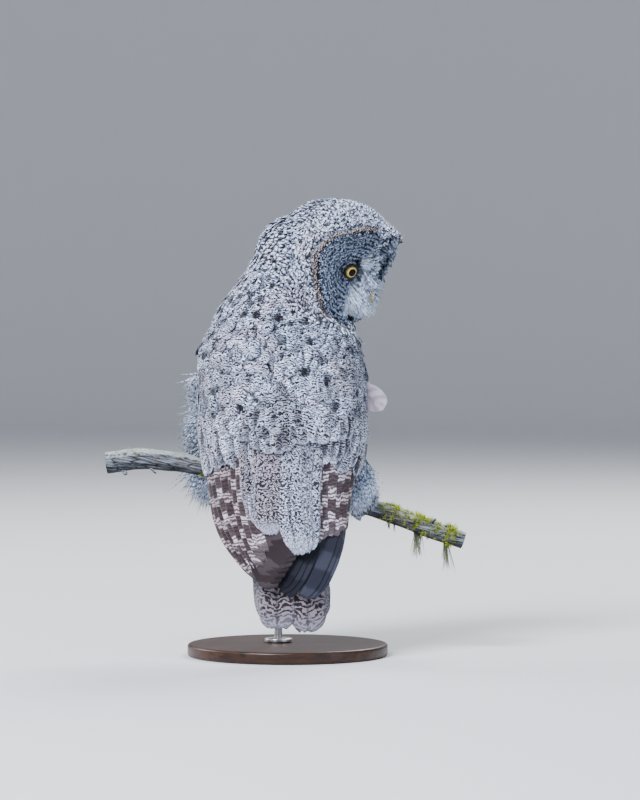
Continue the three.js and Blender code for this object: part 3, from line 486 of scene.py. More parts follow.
def face_out(share, angle):
    """How far forward the dished face lies, at a share of the way from its middle to the rim."""
    radius = share * disc_rim(angle)
    right, up = radius * np.sin(angle), radius * np.cos(angle)
    sheet = mix(DISC["middle"], rim_out(angle), share**1.7)
    pit = 11 * np.exp(-(((np.abs(right) - EYE["side"]) ** 2 + (up - EYE["up"]) ** 2) / 27**2))
    ridge = 12 * np.exp(-((right / 10) ** 2)) * ease(up, -62, -34) * (1 - ease(up, 14, 44))
    lip = 4 * np.exp(-(((share - 0.95) / 0.07) ** 2))
    return sheet - pit + ridge + lip


def skull(around, t, grow):
    """The head's form from the middle of the face, over the rim, to the back of the head."""
    face_rows = 0.42
    angle = around * 2 * np.pi
    rim = disc_rim(angle)
    share = np.clip(t / face_rows, 0, 1) ** 0.9
    radius = share * (rim + grow)
    face = on_head(face_out(share, angle) + grow, radius * np.sin(angle), radius * np.cos(angle))
    upright = np.where(np.cos(angle) > 0, HEAD["top"], HEAD["under"])
    reach = mix(HEAD["side"], upright, np.cos(angle) ** 2)
    start = np.arcsin(np.minimum(0.985, rim / reach))
    turned = mix(start, np.pi, np.clip((t - face_rows) / (1 - face_rows), 0, 1))
    forward = face_out(1.0, angle) / np.cos(start) * np.cos(turned)
    before = turned < np.pi / 2
    out = np.where(before, forward + grow, HEAD["back"] * np.cos(turned) - grow)
    radius = (reach + grow) * np.sin(turned)
    rest = on_head(out, radius * np.sin(angle), radius * np.cos(angle))
    return np.where((t <= face_rows)[..., None], face, rest)


def net(place, around, along):
    """Points and faces of a closed form from place(round, along), both 0 to 1, from pole to pole."""
    rounds, ts = np.meshgrid(np.arange(around) / around, np.linspace(0, 1, along)[1:-1])
    inner = place(rounds, ts).reshape(-1, 3)
    poles = place(np.zeros(2), np.array([0.0, 1.0]))
    n = len(inner)
    faces = grid_faces(along - 2, around, closed=True)
    last = n - around
    for i in range(around):
        j = (i + 1) % around
        faces += [(n, j, i), (n + 1, last + i, last + j)]
    return np.vstack([inner, poles]), faces


def trunk(around, t, grow):
    z = mix(TRUNK["low"] - grow, TRUNK["high"] + grow, (1 - np.cos(np.pi * t)) / 2)
    low = np.maximum(0, 1 - (z - TRUNK["low"] + grow) / 64)
    high = np.maximum(0, 1 - (TRUNK["high"] + grow - z) / 44)
    shrink = np.sqrt(np.maximum(0, 1 - low**2)) * np.sqrt(np.maximum(0, 1 - high**2))
    return around_body(z, around * 2 * np.pi, grow, shrink)


def wing_pad(side):
    """The folded arm under the coverts, as a cushion on the side of the back."""

    def place(around, t):
        angle, radius = around * 2 * np.pi, np.sin(np.pi * t)
        z = 402 + 92 * np.abs(radius) ** 0.8 * np.cos(angle)
        s = 96 + 86 * np.abs(radius) ** 0.8 * np.sin(angle)
        height = mix(9.0, 6.0, ease(s, 80, 130)) * np.where(t < 0.5, 1, -1) * (1 - radius**2.2)
        return on_body(side * s, z, height)

    return place


def course(line, t):
    """The places of a smooth line at every t, and the ways that it runs there."""
    flat = t.ravel()
    ahead = smooth_line(line, np.clip(flat + 0.02, 0, 1)) - smooth_line(line, np.clip(flat - 0.02, 0, 1))
    return smooth_line(line, flat).reshape(t.shape + (3,)), unit(ahead).reshape(t.shape + (3,))


def tube(line, radius):
    """A round limb along a line, closed to a point at both ends."""

    def place(around, t):
        middle, forward = course(line, t)
        across = unit(np.cross(forward, (0.05, 1, 0.02)))
        over = np.cross(across, forward)
        angle = (around * 2 * np.pi)[..., None]
        return middle + radius(t)[..., None] * (across * np.cos(angle) + over * np.sin(angle))

    return place


def round_ends(t, first, last):
    start = np.sqrt(np.maximum(0, 1 - np.maximum(0, 1 - t / first) ** 2))
    return start * np.sqrt(np.maximum(0, 1 - np.maximum(0, 1 - (1 - t) / last) ** 2))


LEGS = {
    "left": {"x": -98, "hip": (-80, 10, 334), "wide": 23, "face": 1, "fan": (-154, -100), "low": 212},
    "right": {"x": 112, "hip": (78, -2, 326), "wide": 23, "face": -1, "fan": (98, 134), "low": 206},
}
TOE = {"radius": 7.5, "claw": 3.3, "claw_arc": 1.05}
TOES = [(-13, 1, 1.75), (9, 1, 1.85), (17, -1, 1.5), (-7, -1, 1.6)]  # along the branch, forward or back, reach


def round_perch(foot, spread, angle, clear):
    """A point round the branch near a foot: angle 0 is on top, positive towards the breast."""
    middle, along, radius = foot
    up = unit(np.array([0, 0, 1.0]) - along * along[2])
    front = np.cross(up, along)
    r = radius * 1.07 + clear
    spread, angle, r = (np.asarray(v, float)[..., None] for v in np.broadcast_arrays(spread, angle, r))
    return middle + along * spread + up * r * np.cos(angle) + front * r * np.sin(angle)


def foot_at(x):
    t = perch_at(x)
    middle, along, _, _ = perch_frame(t)
    return middle[0], along[0], float(perch_radius(t))


def toe_line(foot, spread, way, reach):
    f = np.linspace(0, 1, 5)
    clear = mix(TOE["radius"] + 5, TOE["radius"] + 0.8, ease(f, 0, 0.5))
    return round_perch(foot, spread * (0.35 + 0.65 * ease(f, 0, 0.5)), way * f * reach, clear)


def shank_line(leg):
    ankle = round_perch(foot_at(leg["x"]), 0, 0, 2 * TOE["radius"] + 3)
    hip = np.array(leg["hip"], float)
    return np.array([hip, mix(hip, ankle, 0.6) - (0, 0, 2), ankle])


TAIL = {"pairs": 6, "root": 284, "tip": 38, "half": 24.5, "depth": 1.25, "under": 5}


def on_tail(x, z, depth):
    """A point of the tail: x from its middle, height, and depth below the wings."""
    mx, my, _, back, _ = np.moveaxis(sections(z), -1, 0)
    return joined(mx + x, my - back + TAIL["under"] + depth + x * x / 260, z)


def tail_pad(around, t):
    angle, r = around * 2 * np.pi, np.sin(np.pi * t)
    z = mix(206, 300, (1 - np.cos(np.pi * t)) / 2)
    return on_tail(34 * r * np.sin(angle), z, 10.5 + 8 * r * np.cos(angle))


forms = [
    net(lambda a, t: trunk(a, t, -COAT_DEPTH), 96, 110),
    net(lambda a, t: skull(a, t, -COAT_DEPTH + 1), 128, 110),
    net(tail_pad, 32, 20),
    *(net(wing_pad(side), 48, 40) for side in (-1, 1)),
]
for leg in LEGS.values():
    line = shank_line(leg)
    forms.append(net(tube(line, lambda t: round_ends(t, 0.22, 0.3) * 23 * mix(0.88, 0.7, t)), 32, 30))
    foot = foot_at(leg["x"])
    heel = round_perch(foot, 0, 0, TOE["radius"] + 2)
    ball = np.array([heel - (10, 0, 0), heel, heel + (10, 0, 0)])
    forms.append(net(tube(ball, lambda t: 9 * round_ends(t, 0.45, 0.45)), 24, 16))
    for spread, way, reach in TOES:
        thick = lambda t: TOE["radius"] * round_ends(t, 0.15, 0.14) * (1.05 - 0.3 * t) - 0.6
        forms.append(net(tube(toe_line(foot, spread, way, reach), lambda t: np.maximum(0, thick(t))), 20, 24))
verts, faces = [], []
for points, loops in forms:
    faces += [tuple(len(verts) + i for i in loop) for loop in loops]
    verts += points.tolist()
rough_skin = mesh_piece("rough_skin", verts, faces)
remesh = rough_skin.modifiers.new("one_skin", "REMESH")
remesh.mode = "VOXEL"
remesh.voxel_size = 0.003
soften = rough_skin.modifiers.new("soften", "SMOOTH")
soften.iterations = 8
soften.factor = 0.5
bpy.context.view_layer.update()
evaluated = rough_skin.evaluated_get(bpy.context.evaluated_depsgraph_get())
skin = bpy.data.objects.new("skin", bpy.data.meshes.new_from_object(evaluated))
skin.data.name = "skin"
scene.collection.objects.link(skin)
bpy.data.objects.remove(rough_skin)
skin.data.shade_smooth()
bpy.context.view_layer.objects.active = skin
skin.select_set(True)
bpy.ops.object.mode_set(mode="EDIT")
bpy.ops.mesh.select_all(action="SELECT")
bpy.ops.uv.smart_project(angle_limit=math.radians(60), island_margin=0.004)
bpy.ops.object.mode_set(mode="OBJECT")
skin.data.uv_layers[0].name = "OFBake"
fitted(skin, "plumage", "head", "neck", "torso", "leg_left", "leg_right", "foot_left", "foot_right")


# The eyes are glass: a clear domed front over a yellow iris with a black pupil. Each sits in a black rim of skin.
def eye_axis(side):
    """The way an eye looks, splayed out from the face's own."""
    return unit(AHEAD * math.cos(EYE["splay"]) + RIGHTWARD * side * math.sin(EYE["splay"]) + CROWNWARD * 0.04)


def spin(profile, centre, axis, steps):
    """Points of (radius, height) pairs turned about an axis through a centre."""
    across = unit(np.cross(axis, (0, 0, 1)))
    over = np.cross(axis, across)
    turns = np.linspace(0, 2 * np.pi, steps, endpoint=False)
    ring = across * np.cos(turns)[:, None] + over * np.sin(turns)[:, None]
    return np.array([centre + ring * r + axis * h for r, h in profile]).reshape(-1, 3)


IRIS = {"outer": 9.4, "pupil": 5.9}
# Glass over a yellow iris: fine spokes, amber at its outer edge, round a black pupil
glass, tree, shader = finish(
    "eye_glass_yellow", Roughness=0.25, Coat_Weight=0.35, Coat_Roughness=0.02, Specular_IOR_Level=0.1
)
spoke = add(tree, "Attribute", out="Vector", attribute_name="iris")
ray = add(tree, "SeparateXYZ", (spoke,), out="Z")
spokes = add(tree, "Mapping", {"Vector": spoke, "Scale": (9, 9, 0.25)})
fibres = add(tree, "TexNoise", {"Vector": spokes, "Scale": 1.6, "Detail": 4.0})
shifted = add(tree, "Math", (fibres, 1.6, ray), operation="MULTIPLY_ADD")
ringed = add(tree, "MapRange", (shifted, 5.3, 10.6))
TONES = [(0, "#efe8c6"), (0.3, "#e0d28f"), (0.58, "#bda658"), (0.8, "#74622f"), (1, "#3c3116")]
yellow = add(tree, "ValToRGB", (ringed,), stops=TONES)
inside = add(tree, "MapRange", (ray, IRIS["pupil"] - 0.15, IRIS["pupil"] + 0.15))
seen = add(tree, "Mix", {0: inside, 6: linear("#050505"), 7: yellow}, **BLENDED)
outside = add(tree, "MapRange", (ray, IRIS["outer"] - 0.1, IRIS["outer"] + 0.5))
whole = add(tree, "Mix", {0: outside, 6: seen, 7: linear("#0b0a0a")}, **BLENDED)
feed(shader, {"Base Color": whole})

# Lid skin: bare, black and slightly moist
lid_skin, _, _ = finish("lid_skin_black", Roughness=0.38, Specular_IOR_Level=0.6, Base_Color=linear("#0d0c0d"))


def carry(mesh, name, values, kind="FLOAT_VECTOR"):
    """Stores values on a mesh's points."""
    kept = mesh.attributes.new(name, kind, "POINT")
    kept.data.foreach_set("vector" if kind == "FLOAT_VECTOR" else "value", np.asarray(values, np.float32).ravel())


BALL = {"rings": 60, "steps": 72, "lid_steps": 14}
steps, lid_steps = BALL["steps"], BALL["lid_steps"]
polar = np.linspace(0, np.pi, BALL["rings"])
for side, name in ((1, "right"), (-1, "left")):
    centre, axis = on_head(EYE["out"], side * EYE["side"], EYE["up"]), eye_axis(side)
    size = EYE["radius"] + 1.6 * np.exp(-((polar / 0.55) ** 2))
    profile = list(zip(size * np.sin(polar), size * np.cos(polar)))
    points = spin(profile[1:-1], centre, axis, steps)
    n = len(points)
    points = np.vstack([points, centre + axis * size[0], centre - axis * size[-1]])
    loops = grid_faces(BALL["rings"] - 2, steps, closed=True)
    loops += [(n, (i + 1) % steps, i) for i in range(steps)]
    loops += [(n + 1, n - steps + i, n - steps + (i + 1) % steps) for i in range(steps)]
    ball = mesh_piece(f"eye_{name}_glass", points, [f[::-1] for f in loops], glass)
    # What the iris reads: which way a point lies from the eye's axis, and how far
    local = points - centre
    flat = local - np.outer(local @ axis, axis)
    reach = np.where(local @ axis > 0, np.linalg.norm(flat, axis=1), 20)
    first = unit(np.cross(axis, (0, 0, 1)))
    way = [flat @ side_way / np.maximum(reach, 1e-6) for side_way in (first, np.cross(axis, first))]
    carry(ball.data, "iris", joined(*way, reach))
    fitted(ball, "eye", f"eye_{name}")
    # The rim is a soft ring on the ball, thickest above, where the upper lid hangs
    middle = EYE["opening"] + 1.3
    height = math.sqrt(EYE["radius"] ** 2 - middle**2) + 0.1
    across, points = unit(np.cross(axis, CROWNWARD)), []
    over = np.cross(across, axis)
    for a in np.linspace(0, 2 * np.pi, steps, endpoint=False):
        way = across * math.cos(a) + over * math.sin(a)
        hood = 1 + 0.25 * max(0, math.sin(a))
        for b in np.linspace(0, 2 * np.pi, lid_steps, endpoint=False):
            thick = EYE["lid"] * (0.56 + 0.06 * math.cos(3 * b + 1)) * hood
            points.append(centre + way * (middle + thick * math.cos(b)) + axis * (height + thick * math.sin(b)))
    loops = [tuple(i % len(points) for i in loop) for loop in grid_faces(steps + 1, lid_steps, closed=True)]
    fitted(mesh_piece(f"eye_rim_{name}_skin", points, loops, lid_skin), "eye")


# The bill is horn, dull yellow and mostly sunk in the face's bristles. The upper half hooks down over the lower.
def horn_bar(line, width, height, steps=40, around=32):
    """A bar of oval section along a line, its width across the face, closed to a point at both ends."""

    def place(turn, t):
        middle, forward = course(line, t)
        over = unit(np.cross(forward, RIGHTWARD))
        angle = (turn * 2 * np.pi)[..., None]
        return middle + width(t)[..., None] * RIGHTWARD * np.cos(angle) + height(t)[..., None] * over * np.sin(angle)

    return net(place, around, steps)


BILL = {"upper": on_head([40, 61, 73, 71, 66], 0, [-4, -8, -22, -35, -46])}
BILL["lower"] = on_head([38, 54, 62, 64], 0, [-24, -27, -33, -39])
# Horn: dull wax yellow, faintly mottled and dimpled
horn, tree, shader = finish("bill_horn_yellow", Roughness=0.36, Coat_Weight=0.2, Coat_Roughness=0.25)
place = add(tree, "TexCoord", out="Object")
mottle = add(tree, "TexNoise", {"Vector": place, "Scale": 260.0, "Detail": 4.0})
wax = add(tree, "ValToRGB", (mottle,), stops=[(0.3, "#8d7433"), (0.7, "#cdb566")])
bump = add(tree, "Bump", {"Strength": 0.3, "Distance": 0.0003, "Height": mottle})
feed(shader, {"Base Color": wax, "Normal": bump})
for name, wide, high, ends, thin in (("upper", 9.5, 10.5, (0.08, 0.02), 0.88), ("lower", 7.5, 5, (0.1, 0.05), 0.75)):
    taper = lambda t: round_ends(t, *ends) * (1 - thin * t)
    points, loops = horn_bar(BILL[name], lambda t: taper(t) * wide, lambda t: taper(t) * high)
    half = mesh_piece(f"bill_{name}_horn", points, loops, horn)
    if name == "upper":
        # Nostrils: oval pits near the root
        moved = np.array([v.co for v in half.data.vertices]) / MM
        for side in (-1, 1):
            pit = on_head(66, side * 7, -11)
            away = moved - pit
            deep = np.exp(-((away @ AHEAD / 1.5) ** 2) - (away @ RIGHTWARD / 2.4) ** 2 - (away @ CROWNWARD / 2.0) ** 2)
            moved -= np.outer(deep * 1.8 * side, RIGHTWARD)
        half.data.vertices.foreach_set("co", (moved * MM).ravel())
    fitted(half, "bill", f"bill_{name}")


# The claws are long, thin, curved cones of horn, all eight in one mesh. They come out of the toes' feathers and
# close round the branch. Black horn is smooth and glossy, and worn a little brown.
talon, tree, shader = finish("claw_horn_black", Roughness=0.28, Coat_Weight=0.3, Coat_Roughness=0.2)
place = add(tree, "TexCoord", out="Object")
worn = add(tree, "TexNoise", {"Vector": place, "Scale": 300.0, "Detail": 3.0})
feed(shader, {"Base Color": add(tree, "ValToRGB", (worn,), stops=[(0, "#0c0b0b"), (1, "#2c2825")])})
points, loops = [], []
for leg in LEGS.values():
    foot = foot_at(leg["x"])
    for spread, way, reach in TOES:
        f = np.linspace(0, 1, 5)
        line = round_perch(foot, spread, way * (reach - 0.3 + TOE["claw_arc"] * f), TOE["claw"] + mix(4, 0.6, f))
        thick = lambda t: TOE["claw"] * (1 - 0.86 * t) * round_ends(t, 0.08, 0.02)
        more, faces = net(tube(line, thick), 20, 28)
        loops += [tuple(len(points) + i for i in loop) for loop in faces]
        points += more.tolist()
claws = mesh_piece("claws_horn", points, loops, talon)
fitted(claws, "claw", *(f"claw_{side}_{n}" for side in ("left", "right") for n in (1, 2, 3, 4)))


# The body feathers are small soft vanes with loose barbs at their tips. Each is thin and lies back over the next,
# from its root on the skin: minute on the face, short on the crown, longest on the back, belly and flanks.
def vane_form(name, seed, rows, columns, tip=0.78, base=0.5, arch=0.1, cup=0.05, fray=0.0, barbs=0):
    """A closed vane one unit long and wide, its root at the origin, its tip at +Y and its face to +Z."""
    rng = np.random.default_rng(seed)
    t, u = np.asarray(rows, float)[:, None], np.linspace(-1, 1, columns)[None]
    half = 0.5 * mix(base, 1, ease(t, 0, 0.45)) * np.sqrt(1 - np.maximum(0, (t - tip) / (1.04 - tip)) ** 2.2)
    x = half * u * (1 + 0.05 * rng.normal(size=t.shape)) + 0.03 * rng.normal() * t**2
    y = t - 0.1 * u**2 * ease(t, 0.55, 1) + fray * rng.uniform(-1, 1, (len(t), columns)) * t**3
    z = 4 * arch * t * (1 - t) - cup * u**2 * ease(t, 0, 0.3)
    verts = joined(x, y, z).reshape(-1, 3).tolist()
    uvs = joined(0.5 + 0.5 * u, t).reshape(-1, 2).tolist()
    faces, c, last = grid_faces(len(rows), columns), columns, (len(rows) - 1) * columns
    faces += [(r * c + c - 1, r * c, (r + 1) * c, (r + 1) * c + c - 1) for r in range(len(rows) - 1)]
    faces.append(tuple([0, *range(c - 1, 0, -1)]))
    faces.append(tuple([last + c - 1, last, *range(last + 1, last + c - 1)]))
    for k in range(barbs):
        # A barb: a thin spike out of the tip's edge
        share = (k + 0.5) / barbs * 2 - 1 + 0.1 * rng.normal()
        edge = 1 - 0.32 * abs(share) ** 2.5
        root = np.array([0.46 * share * np.sqrt(max(0.1, 1 - max(0, edge - tip) ** 2)), edge - 0.05, -cup * share**2])
        way = unit(np.array([0.7 * share + 0.1 * rng.normal(), 1.0, 0.06 * rng.normal()]))
        side, start = np.array([0.018, 0, 0]), len(verts)
        verts += (root + np.array([side, -side, side * 0 + (0, 0, 0.012), way * rng.uniform(0.1, 0.2)])).tolist()
        uvs += [[0.5 + 0.46 * share, 0.96]] * 4
        faces += [(start + i for i in loop) for loop in ((0, 1, 2), (1, 0, 3), (2, 1, 3), (0, 2, 3))]
    return form_object(name, verts, [tuple(f) for f in faces], uvs)


def read_off(things, key, width, kind=np.float32):
    """One property of a mesh's points, corners or triangles, as an array."""
    flat = np.zeros(len(things) * width, kind)
    things.foreach_get(key, flat)
    return flat.reshape(-1, width)


def mapped_flat(mesh, name, uvs):
    """Gives a mesh a UV map from places that are listed by its points."""
    corners = read_off(mesh.loops, "vertex_index", 1, np.int32)[:, 0]
    mesh.uv_layers.new(name=name).data.foreach_set("uv", np.asarray(uvs, np.float32)[corners].ravel())


def form_object(name, verts, faces, uvs):
    mesh = bpy.data.meshes.new(name)
    mesh.from_pydata(verts, [], faces)
    mapped_flat(mesh, "Vane", uvs)
    mesh.shade_smooth()
    return bpy.data.objects.new(name, mesh)


def tuft_form(name, seed, strands, spread, bend, thick=0.02, joints=3):
    """A tuft of thin closed strands one unit long from one root, that part and curve towards their tips."""
    rng = np.random.default_rng(seed)
    verts, faces, uvs = [], [], []
    for _ in range(strands):
        way, curl = rng.normal(size=2) * spread, rng.normal(size=2) * bend
        long, root = rng.uniform(0.7, 1.0), rng.normal(size=2) * 0.035
        start = len(verts)
        for j in range(joints):
            t = j / joints
            x, z = root + way * t * long + curl * t * t
            for a in (0.5, 2.6, 4.7):
                wide = thick * (1 - 0.75 * t)
                verts.append([x + wide * math.cos(a), t * long, z + wide * math.sin(a)])
                uvs.append([0.5 + 0.4 * math.cos(a), t])
        x, z = root + way * long + curl
        verts.append([x, long, z])
        uvs.append([0.5, 1.0])
        faces += [(start + 2, start + 1, start)]
        faces += [
            (start + 3 * j + i, start + 3 * j + (i + 1) % 3, start + 3 * j + 3 + (i + 1) % 3, start + 3 * j + 3 + i)
            for j in range(joints - 1)
            for i in range(3)
        ]
        top = start + 3 * (joints - 1)
        faces += [(top + i, top + (i + 1) % 3, start + 3 * joints) for i in range(3)]
    # Seen with the root at the origin and the tips at +Y, the loops above run the wrong way round
    return form_object(name, verts, [f[::-1] for f in faces], uvs)


def variants(make, name, count, seed, *sizes, **more):
    """A collection of like forms that differ by their seeds."""
    group = bpy.data.collections.new(name)
    for k in range(count):
        group.objects.link(make(f"{name}_{k}", seed + k, *sizes, **more))
    return group


# Contour feathers of the body, scale-like ones of the head, stiff ones of the face, narrow ones, and kinds of tuft
LONG = [0, 0.3, 0.6, 0.84, 1]
FORMS = {
    "contour": variants(vane_form, "contour", 6, 0, LONG, 5, fray=0.05, arch=0.06, barbs=6),
    "scale": variants(vane_form, "scale", 6, 20, [0, 0.4, 0.75, 1], 3, arch=0.1, fray=0.07, barbs=2),
    "bristle": variants(vane_form, "bristle", 5, 40, [0, 0.45, 0.8, 1], 3, tip=0.6, arch=0.06, fray=0.06),
    "lance": variants(vane_form, "lance", 5, 50, LONG, 3, tip=0.55, arch=0.05, fray=0.05, barbs=4),
    "whisker": variants(tuft_form, "whisker", 6, 90, 4, 0.14, 0.1, 0.05, 4),
    "down": variants(tuft_form, "down", 6, 60, 8, 0.16, 0.09, 0.028),
    "fluff": variants(tuft_form, "fluff", 6, 80, 8, 0.12, 0.08, 0.019, 4),
}

# The planting: a form on each root, its face along the skin's normal, its tip along the lie of the coat, then
# lifted by its pitch and swayed a little at random
planting = bpy.data.node_groups.new("plant_feathers", "GeometryNodeTree")
for label, kind in (
    ("Roots", "NodeSocketGeometry"),
    ("Forms", "NodeSocketCollection"),
    ("Finish", "NodeSocketMaterial"),
    ("Patch", "NodeSocketFloat"),
    ("Sway", "NodeSocketFloat"),
    ("Seed", "NodeSocketInt"),
):
    planting.interface.new_socket(label, in_out="INPUT", socket_type=kind)
planting.interface.new_socket("Feathers", in_out="OUTPUT", socket_type="NodeSocketGeometry")
given = add(planting, "NodeGroupInput").node.outputs
read = {}
for key in ("facing", "lie", "size", "root"):
    read[key] = add(planting, "GeometryNodeInputNamedAttribute", {"Name": key}, data_type="FLOAT_VECTOR")
pitch = add(planting, "GeometryNodeInputNamedAttribute", {"Name": "pitch"}, data_type="FLOAT")
ways = (read["facing"], read["lie"])
stand = add(planting, "FunctionNodeAxesToRotation", ways, primary_axis="Z", secondary_axis="Y")
low = add(planting, "VectorMath", {0: (-0.5, -0.7, -1.0), "Scale": given["Sway"]}, operation="SCALE")
high = add(planting, "VectorMath", {0: (0.5, 0.7, 1.0), "Scale": given["Sway"]}, operation="SCALE")
sway = add(planting, "FunctionNodeRandomValue", {0: low, 1: high, "Seed": given["Seed"]}, data_type="FLOAT_VECTOR")
lifted = add(planting, "CombineXYZ", (pitch,))
turned = add(planting, "VectorMath", (sway, lifted), operation="ADD")
local = add(planting, "FunctionNodeEulerToRotation", (turned,))
placed = add(planting, "FunctionNodeRotateRotation", (stand, local), rotation_space="LOCAL")
apart = {"Separate Children": True, "Reset Children": True}
forms = add(planting, "GeometryNodeCollectionInfo", {"Collection": given["Forms"], **apart})
drawn = add(planting, "FunctionNodeRandomValue", {"Min": 0, "Max": 99, "Seed": given["Seed"]}, data_type="INT").node
chosen = [s for s in drawn.outputs if s.enabled][0]
points = add(planting, "GeometryNodeMeshToPoints", {"Mesh": given["Roots"]})
kind = {"Instance": forms, "Pick Instance": True, "Instance Index": chosen}
pose = {"Points": points, "Rotation": placed, "Scale": read["size"]}
grown = add(planting, "GeometryNodeInstanceOnPoints", {**pose, **kind})
real = add(planting, "GeometryNodeRealizeInstances", {"Geometry": grown})
vane = add(planting, "GeometryNodeInputNamedAttribute", {"Name": "Vane"}, data_type="FLOAT_VECTOR")
centred = add(planting, "VectorMath", (vane, (-0.5, -0.5, 0)), operation="ADD")
patch = add(planting, "VectorMath", {0: centred, "Scale": given["Patch"]}, operation="SCALE")
baked = add(planting, "VectorMath", (patch, read["root"]), operation="ADD")
stored = {"Geometry": real, "Name": "OFBake", "Value": baked}
mapped = add(planting, "GeometryNodeStoreNamedAttribute", stored, data_type="FLOAT2", domain="CORNER")
coated = add(planting, "GeometryNodeSetMaterial", {"Geometry": mapped, "Material": given["Finish"]})
planting.links.new(coated, add(planting, "NodeGroupOutput").inputs[0])
sockets = {s.name: s.identifier for s in planting.interface.items_tree if s.in_out == "INPUT"}
BAKE_PATCH = 0.003  # of the whole OFBake map, for each feather


def planted(name, roots, forms, finish_of, slot="plumage", sway=0.2, seed=1):
    """Grows forms on roots, a dict of arrays, and makes one plain mesh of them, under 200,000 triangles."""
    mesh = bpy.data.meshes.new(name + "_roots")
    mesh.from_pydata((roots["at"] * MM).tolist(), [], [])
    for key in ("facing", "lie", "size", "root", "marks", "span"):
        carry(mesh, key, roots[key])
    carry(mesh, "pitch", roots["pitch"], "FLOAT")
    grower = bpy.data.objects.new(name + "_roots", mesh)
    scene.collection.objects.link(grower)
    modifier = grower.modifiers.new("plant", "NODES")
    modifier.node_group = planting
    inputs = {"Forms": FORMS[forms], "Finish": finish_of, "Patch": BAKE_PATCH, "Sway": sway, "Seed": seed}
    for key, value in inputs.items():
        modifier[sockets[key]] = value
    graph = bpy.context.evaluated_depsgraph_get()
    grown = bpy.data.meshes.new_from_object(grower.evaluated_get(graph), preserve_all_data_layers=True, depsgraph=graph)
    grown.name = name
    bpy.data.objects.remove(grower)
    for key in ("facing", "lie", "size", "root", "pitch"):
        if key in grown.attributes:
            grown.attributes.remove(grown.attributes[key])
    piece = bpy.data.objects.new(name, grown)
    scene.collection.objects.link(piece)
    fitted(piece, slot)


# Roots are drawn on the skin's own triangles, apart by the gap that the feathers there need
skin.data.calc_loop_triangles()
corners = read_off(skin.data.loop_triangles, "vertices", 3, np.int32)
loops = read_off(skin.data.loop_triangles, "loops", 3, np.int32)
skin_at = read_off(skin.data.vertices, "co", 3).astype(float) / MM
skin_facing = read_off(skin.data.vertex_normals, "vector", 3).astype(float)
SKIN = {"at": skin_at[corners], "facing": skin_facing[corners]}
SKIN["root"] = read_off(skin.data.uv_layers[0].data, "uv", 2)[loops]
edges = SKIN["at"][:, 1:] - SKIN["at"][:, :1]
SKIN["area"] = np.linalg.norm(np.cross(edges[:, 0], edges[:, 1]), axis=1) / 2
skin_tree = BVHTree.FromPolygons((skin_at * MM).tolist(), corners.tolist())


def in_head(p):
    """Places as distances out along the face's line of sight, to the bird's right, and up."""
    q = p - HEAD["centre"]
    return q @ AHEAD, q @ RIGHTWARD, q @ CROWNWARD


def face_share(p):
    """The share of the way from the face's middle to its rim, above 1 off the face, and the angle from straight up."""
    out, right, up = in_head(p)
    angle = np.arctan2(right, up) % (2 * np.pi)
    share = np.hypot(right, up) / disc_rim(angle)
    return np.where(out > rim_out(angle) - 16, share, 9.0), angle


def near_tree(points):
    """A tree that finds the nearest of some points."""
    near = KDTree(len(points))
    for i, p in enumerate(points):
        near.insert(p, i)
    near.balance()
    return near


def scatter(gap_at, seed):
    """Roots at random on the skin, each its gap from the next. gap_at gives gaps from places, 0 for bare skin."""
    rng = np.random.default_rng(seed)
    gap = gap_at(SKIN["at"].mean(axis=1))
    weight = np.where(gap > 0, SKIN["area"] / np.maximum(gap, 0.1) ** 2, 0)
    drawn = rng.choice(len(weight), int(weight.sum() * 4.2), p=weight / weight.sum())
    a, b = np.sqrt(rng.random(len(drawn))), rng.random(len(drawn))
    share = np.stack([1 - a, a * (1 - b), a * b], axis=1)[..., None]
    at, gap = (SKIN["at"][drawn] * share).sum(1), gap[drawn]
    near, free, kept = near_tree(at), np.ones(len(at), bool), []
    for i in range(len(at)):
        if free[i]:
            kept.append(i)
            for _, j, _ in near.find_range(at[i], gap[i]):
                free[j] = False
    kept = np.array(kept)
    facing = unit((SKIN["facing"][drawn[kept]] * share[kept]).sum(1))
    root = (SKIN["root"][drawn[kept]] * share[kept]).sum(1)
    return {"at": at[kept], "facing": facing, "root": np.column_stack([root, np.zeros(len(kept))]), "gap": gap[kept]}


def set_on(points):
    """Roots at the skin's nearest places to given points."""
    at, facing, root = [], [], []
    for p in points:
        spot, normal, face, _ = skin_tree.find_nearest(Vector(p * MM))
        corner = SKIN["at"][face]
        split = np.linalg.lstsq(np.vstack([corner.T, np.ones(3)]), np.append(np.array(spot) / MM, 1), rcond=None)[0]
        at.append(np.array(spot) / MM)
        facing.append(unit(split @ SKIN["facing"][face]))
        root.append([*(split @ SKIN["root"][face]), 0])
    return {"at": np.array(at), "facing": np.array(facing), "root": np.array(root)}


def along_skin(way, facing):
    return unit(way - (way * facing).sum(1, keepdims=True) * facing)


def lie_of(p, facing):
    """The way that the coat lies: back from the face over the head, then down the body."""
    distance = np.linalg.norm(p - HEAD["centre"], axis=1)
    off_axis = np.degrees(np.arccos(np.clip(in_head(p)[0] / distance, -1, 1)))
    head = (1 - ease(distance, 92, 128)) * (1 - ease(off_axis, 75, 130))
    down = np.array([0, -0.12, -1.0]) + np.zeros_like(p)
    return along_skin(mix(down, -AHEAD * 1.2, head[:, None]), facing)


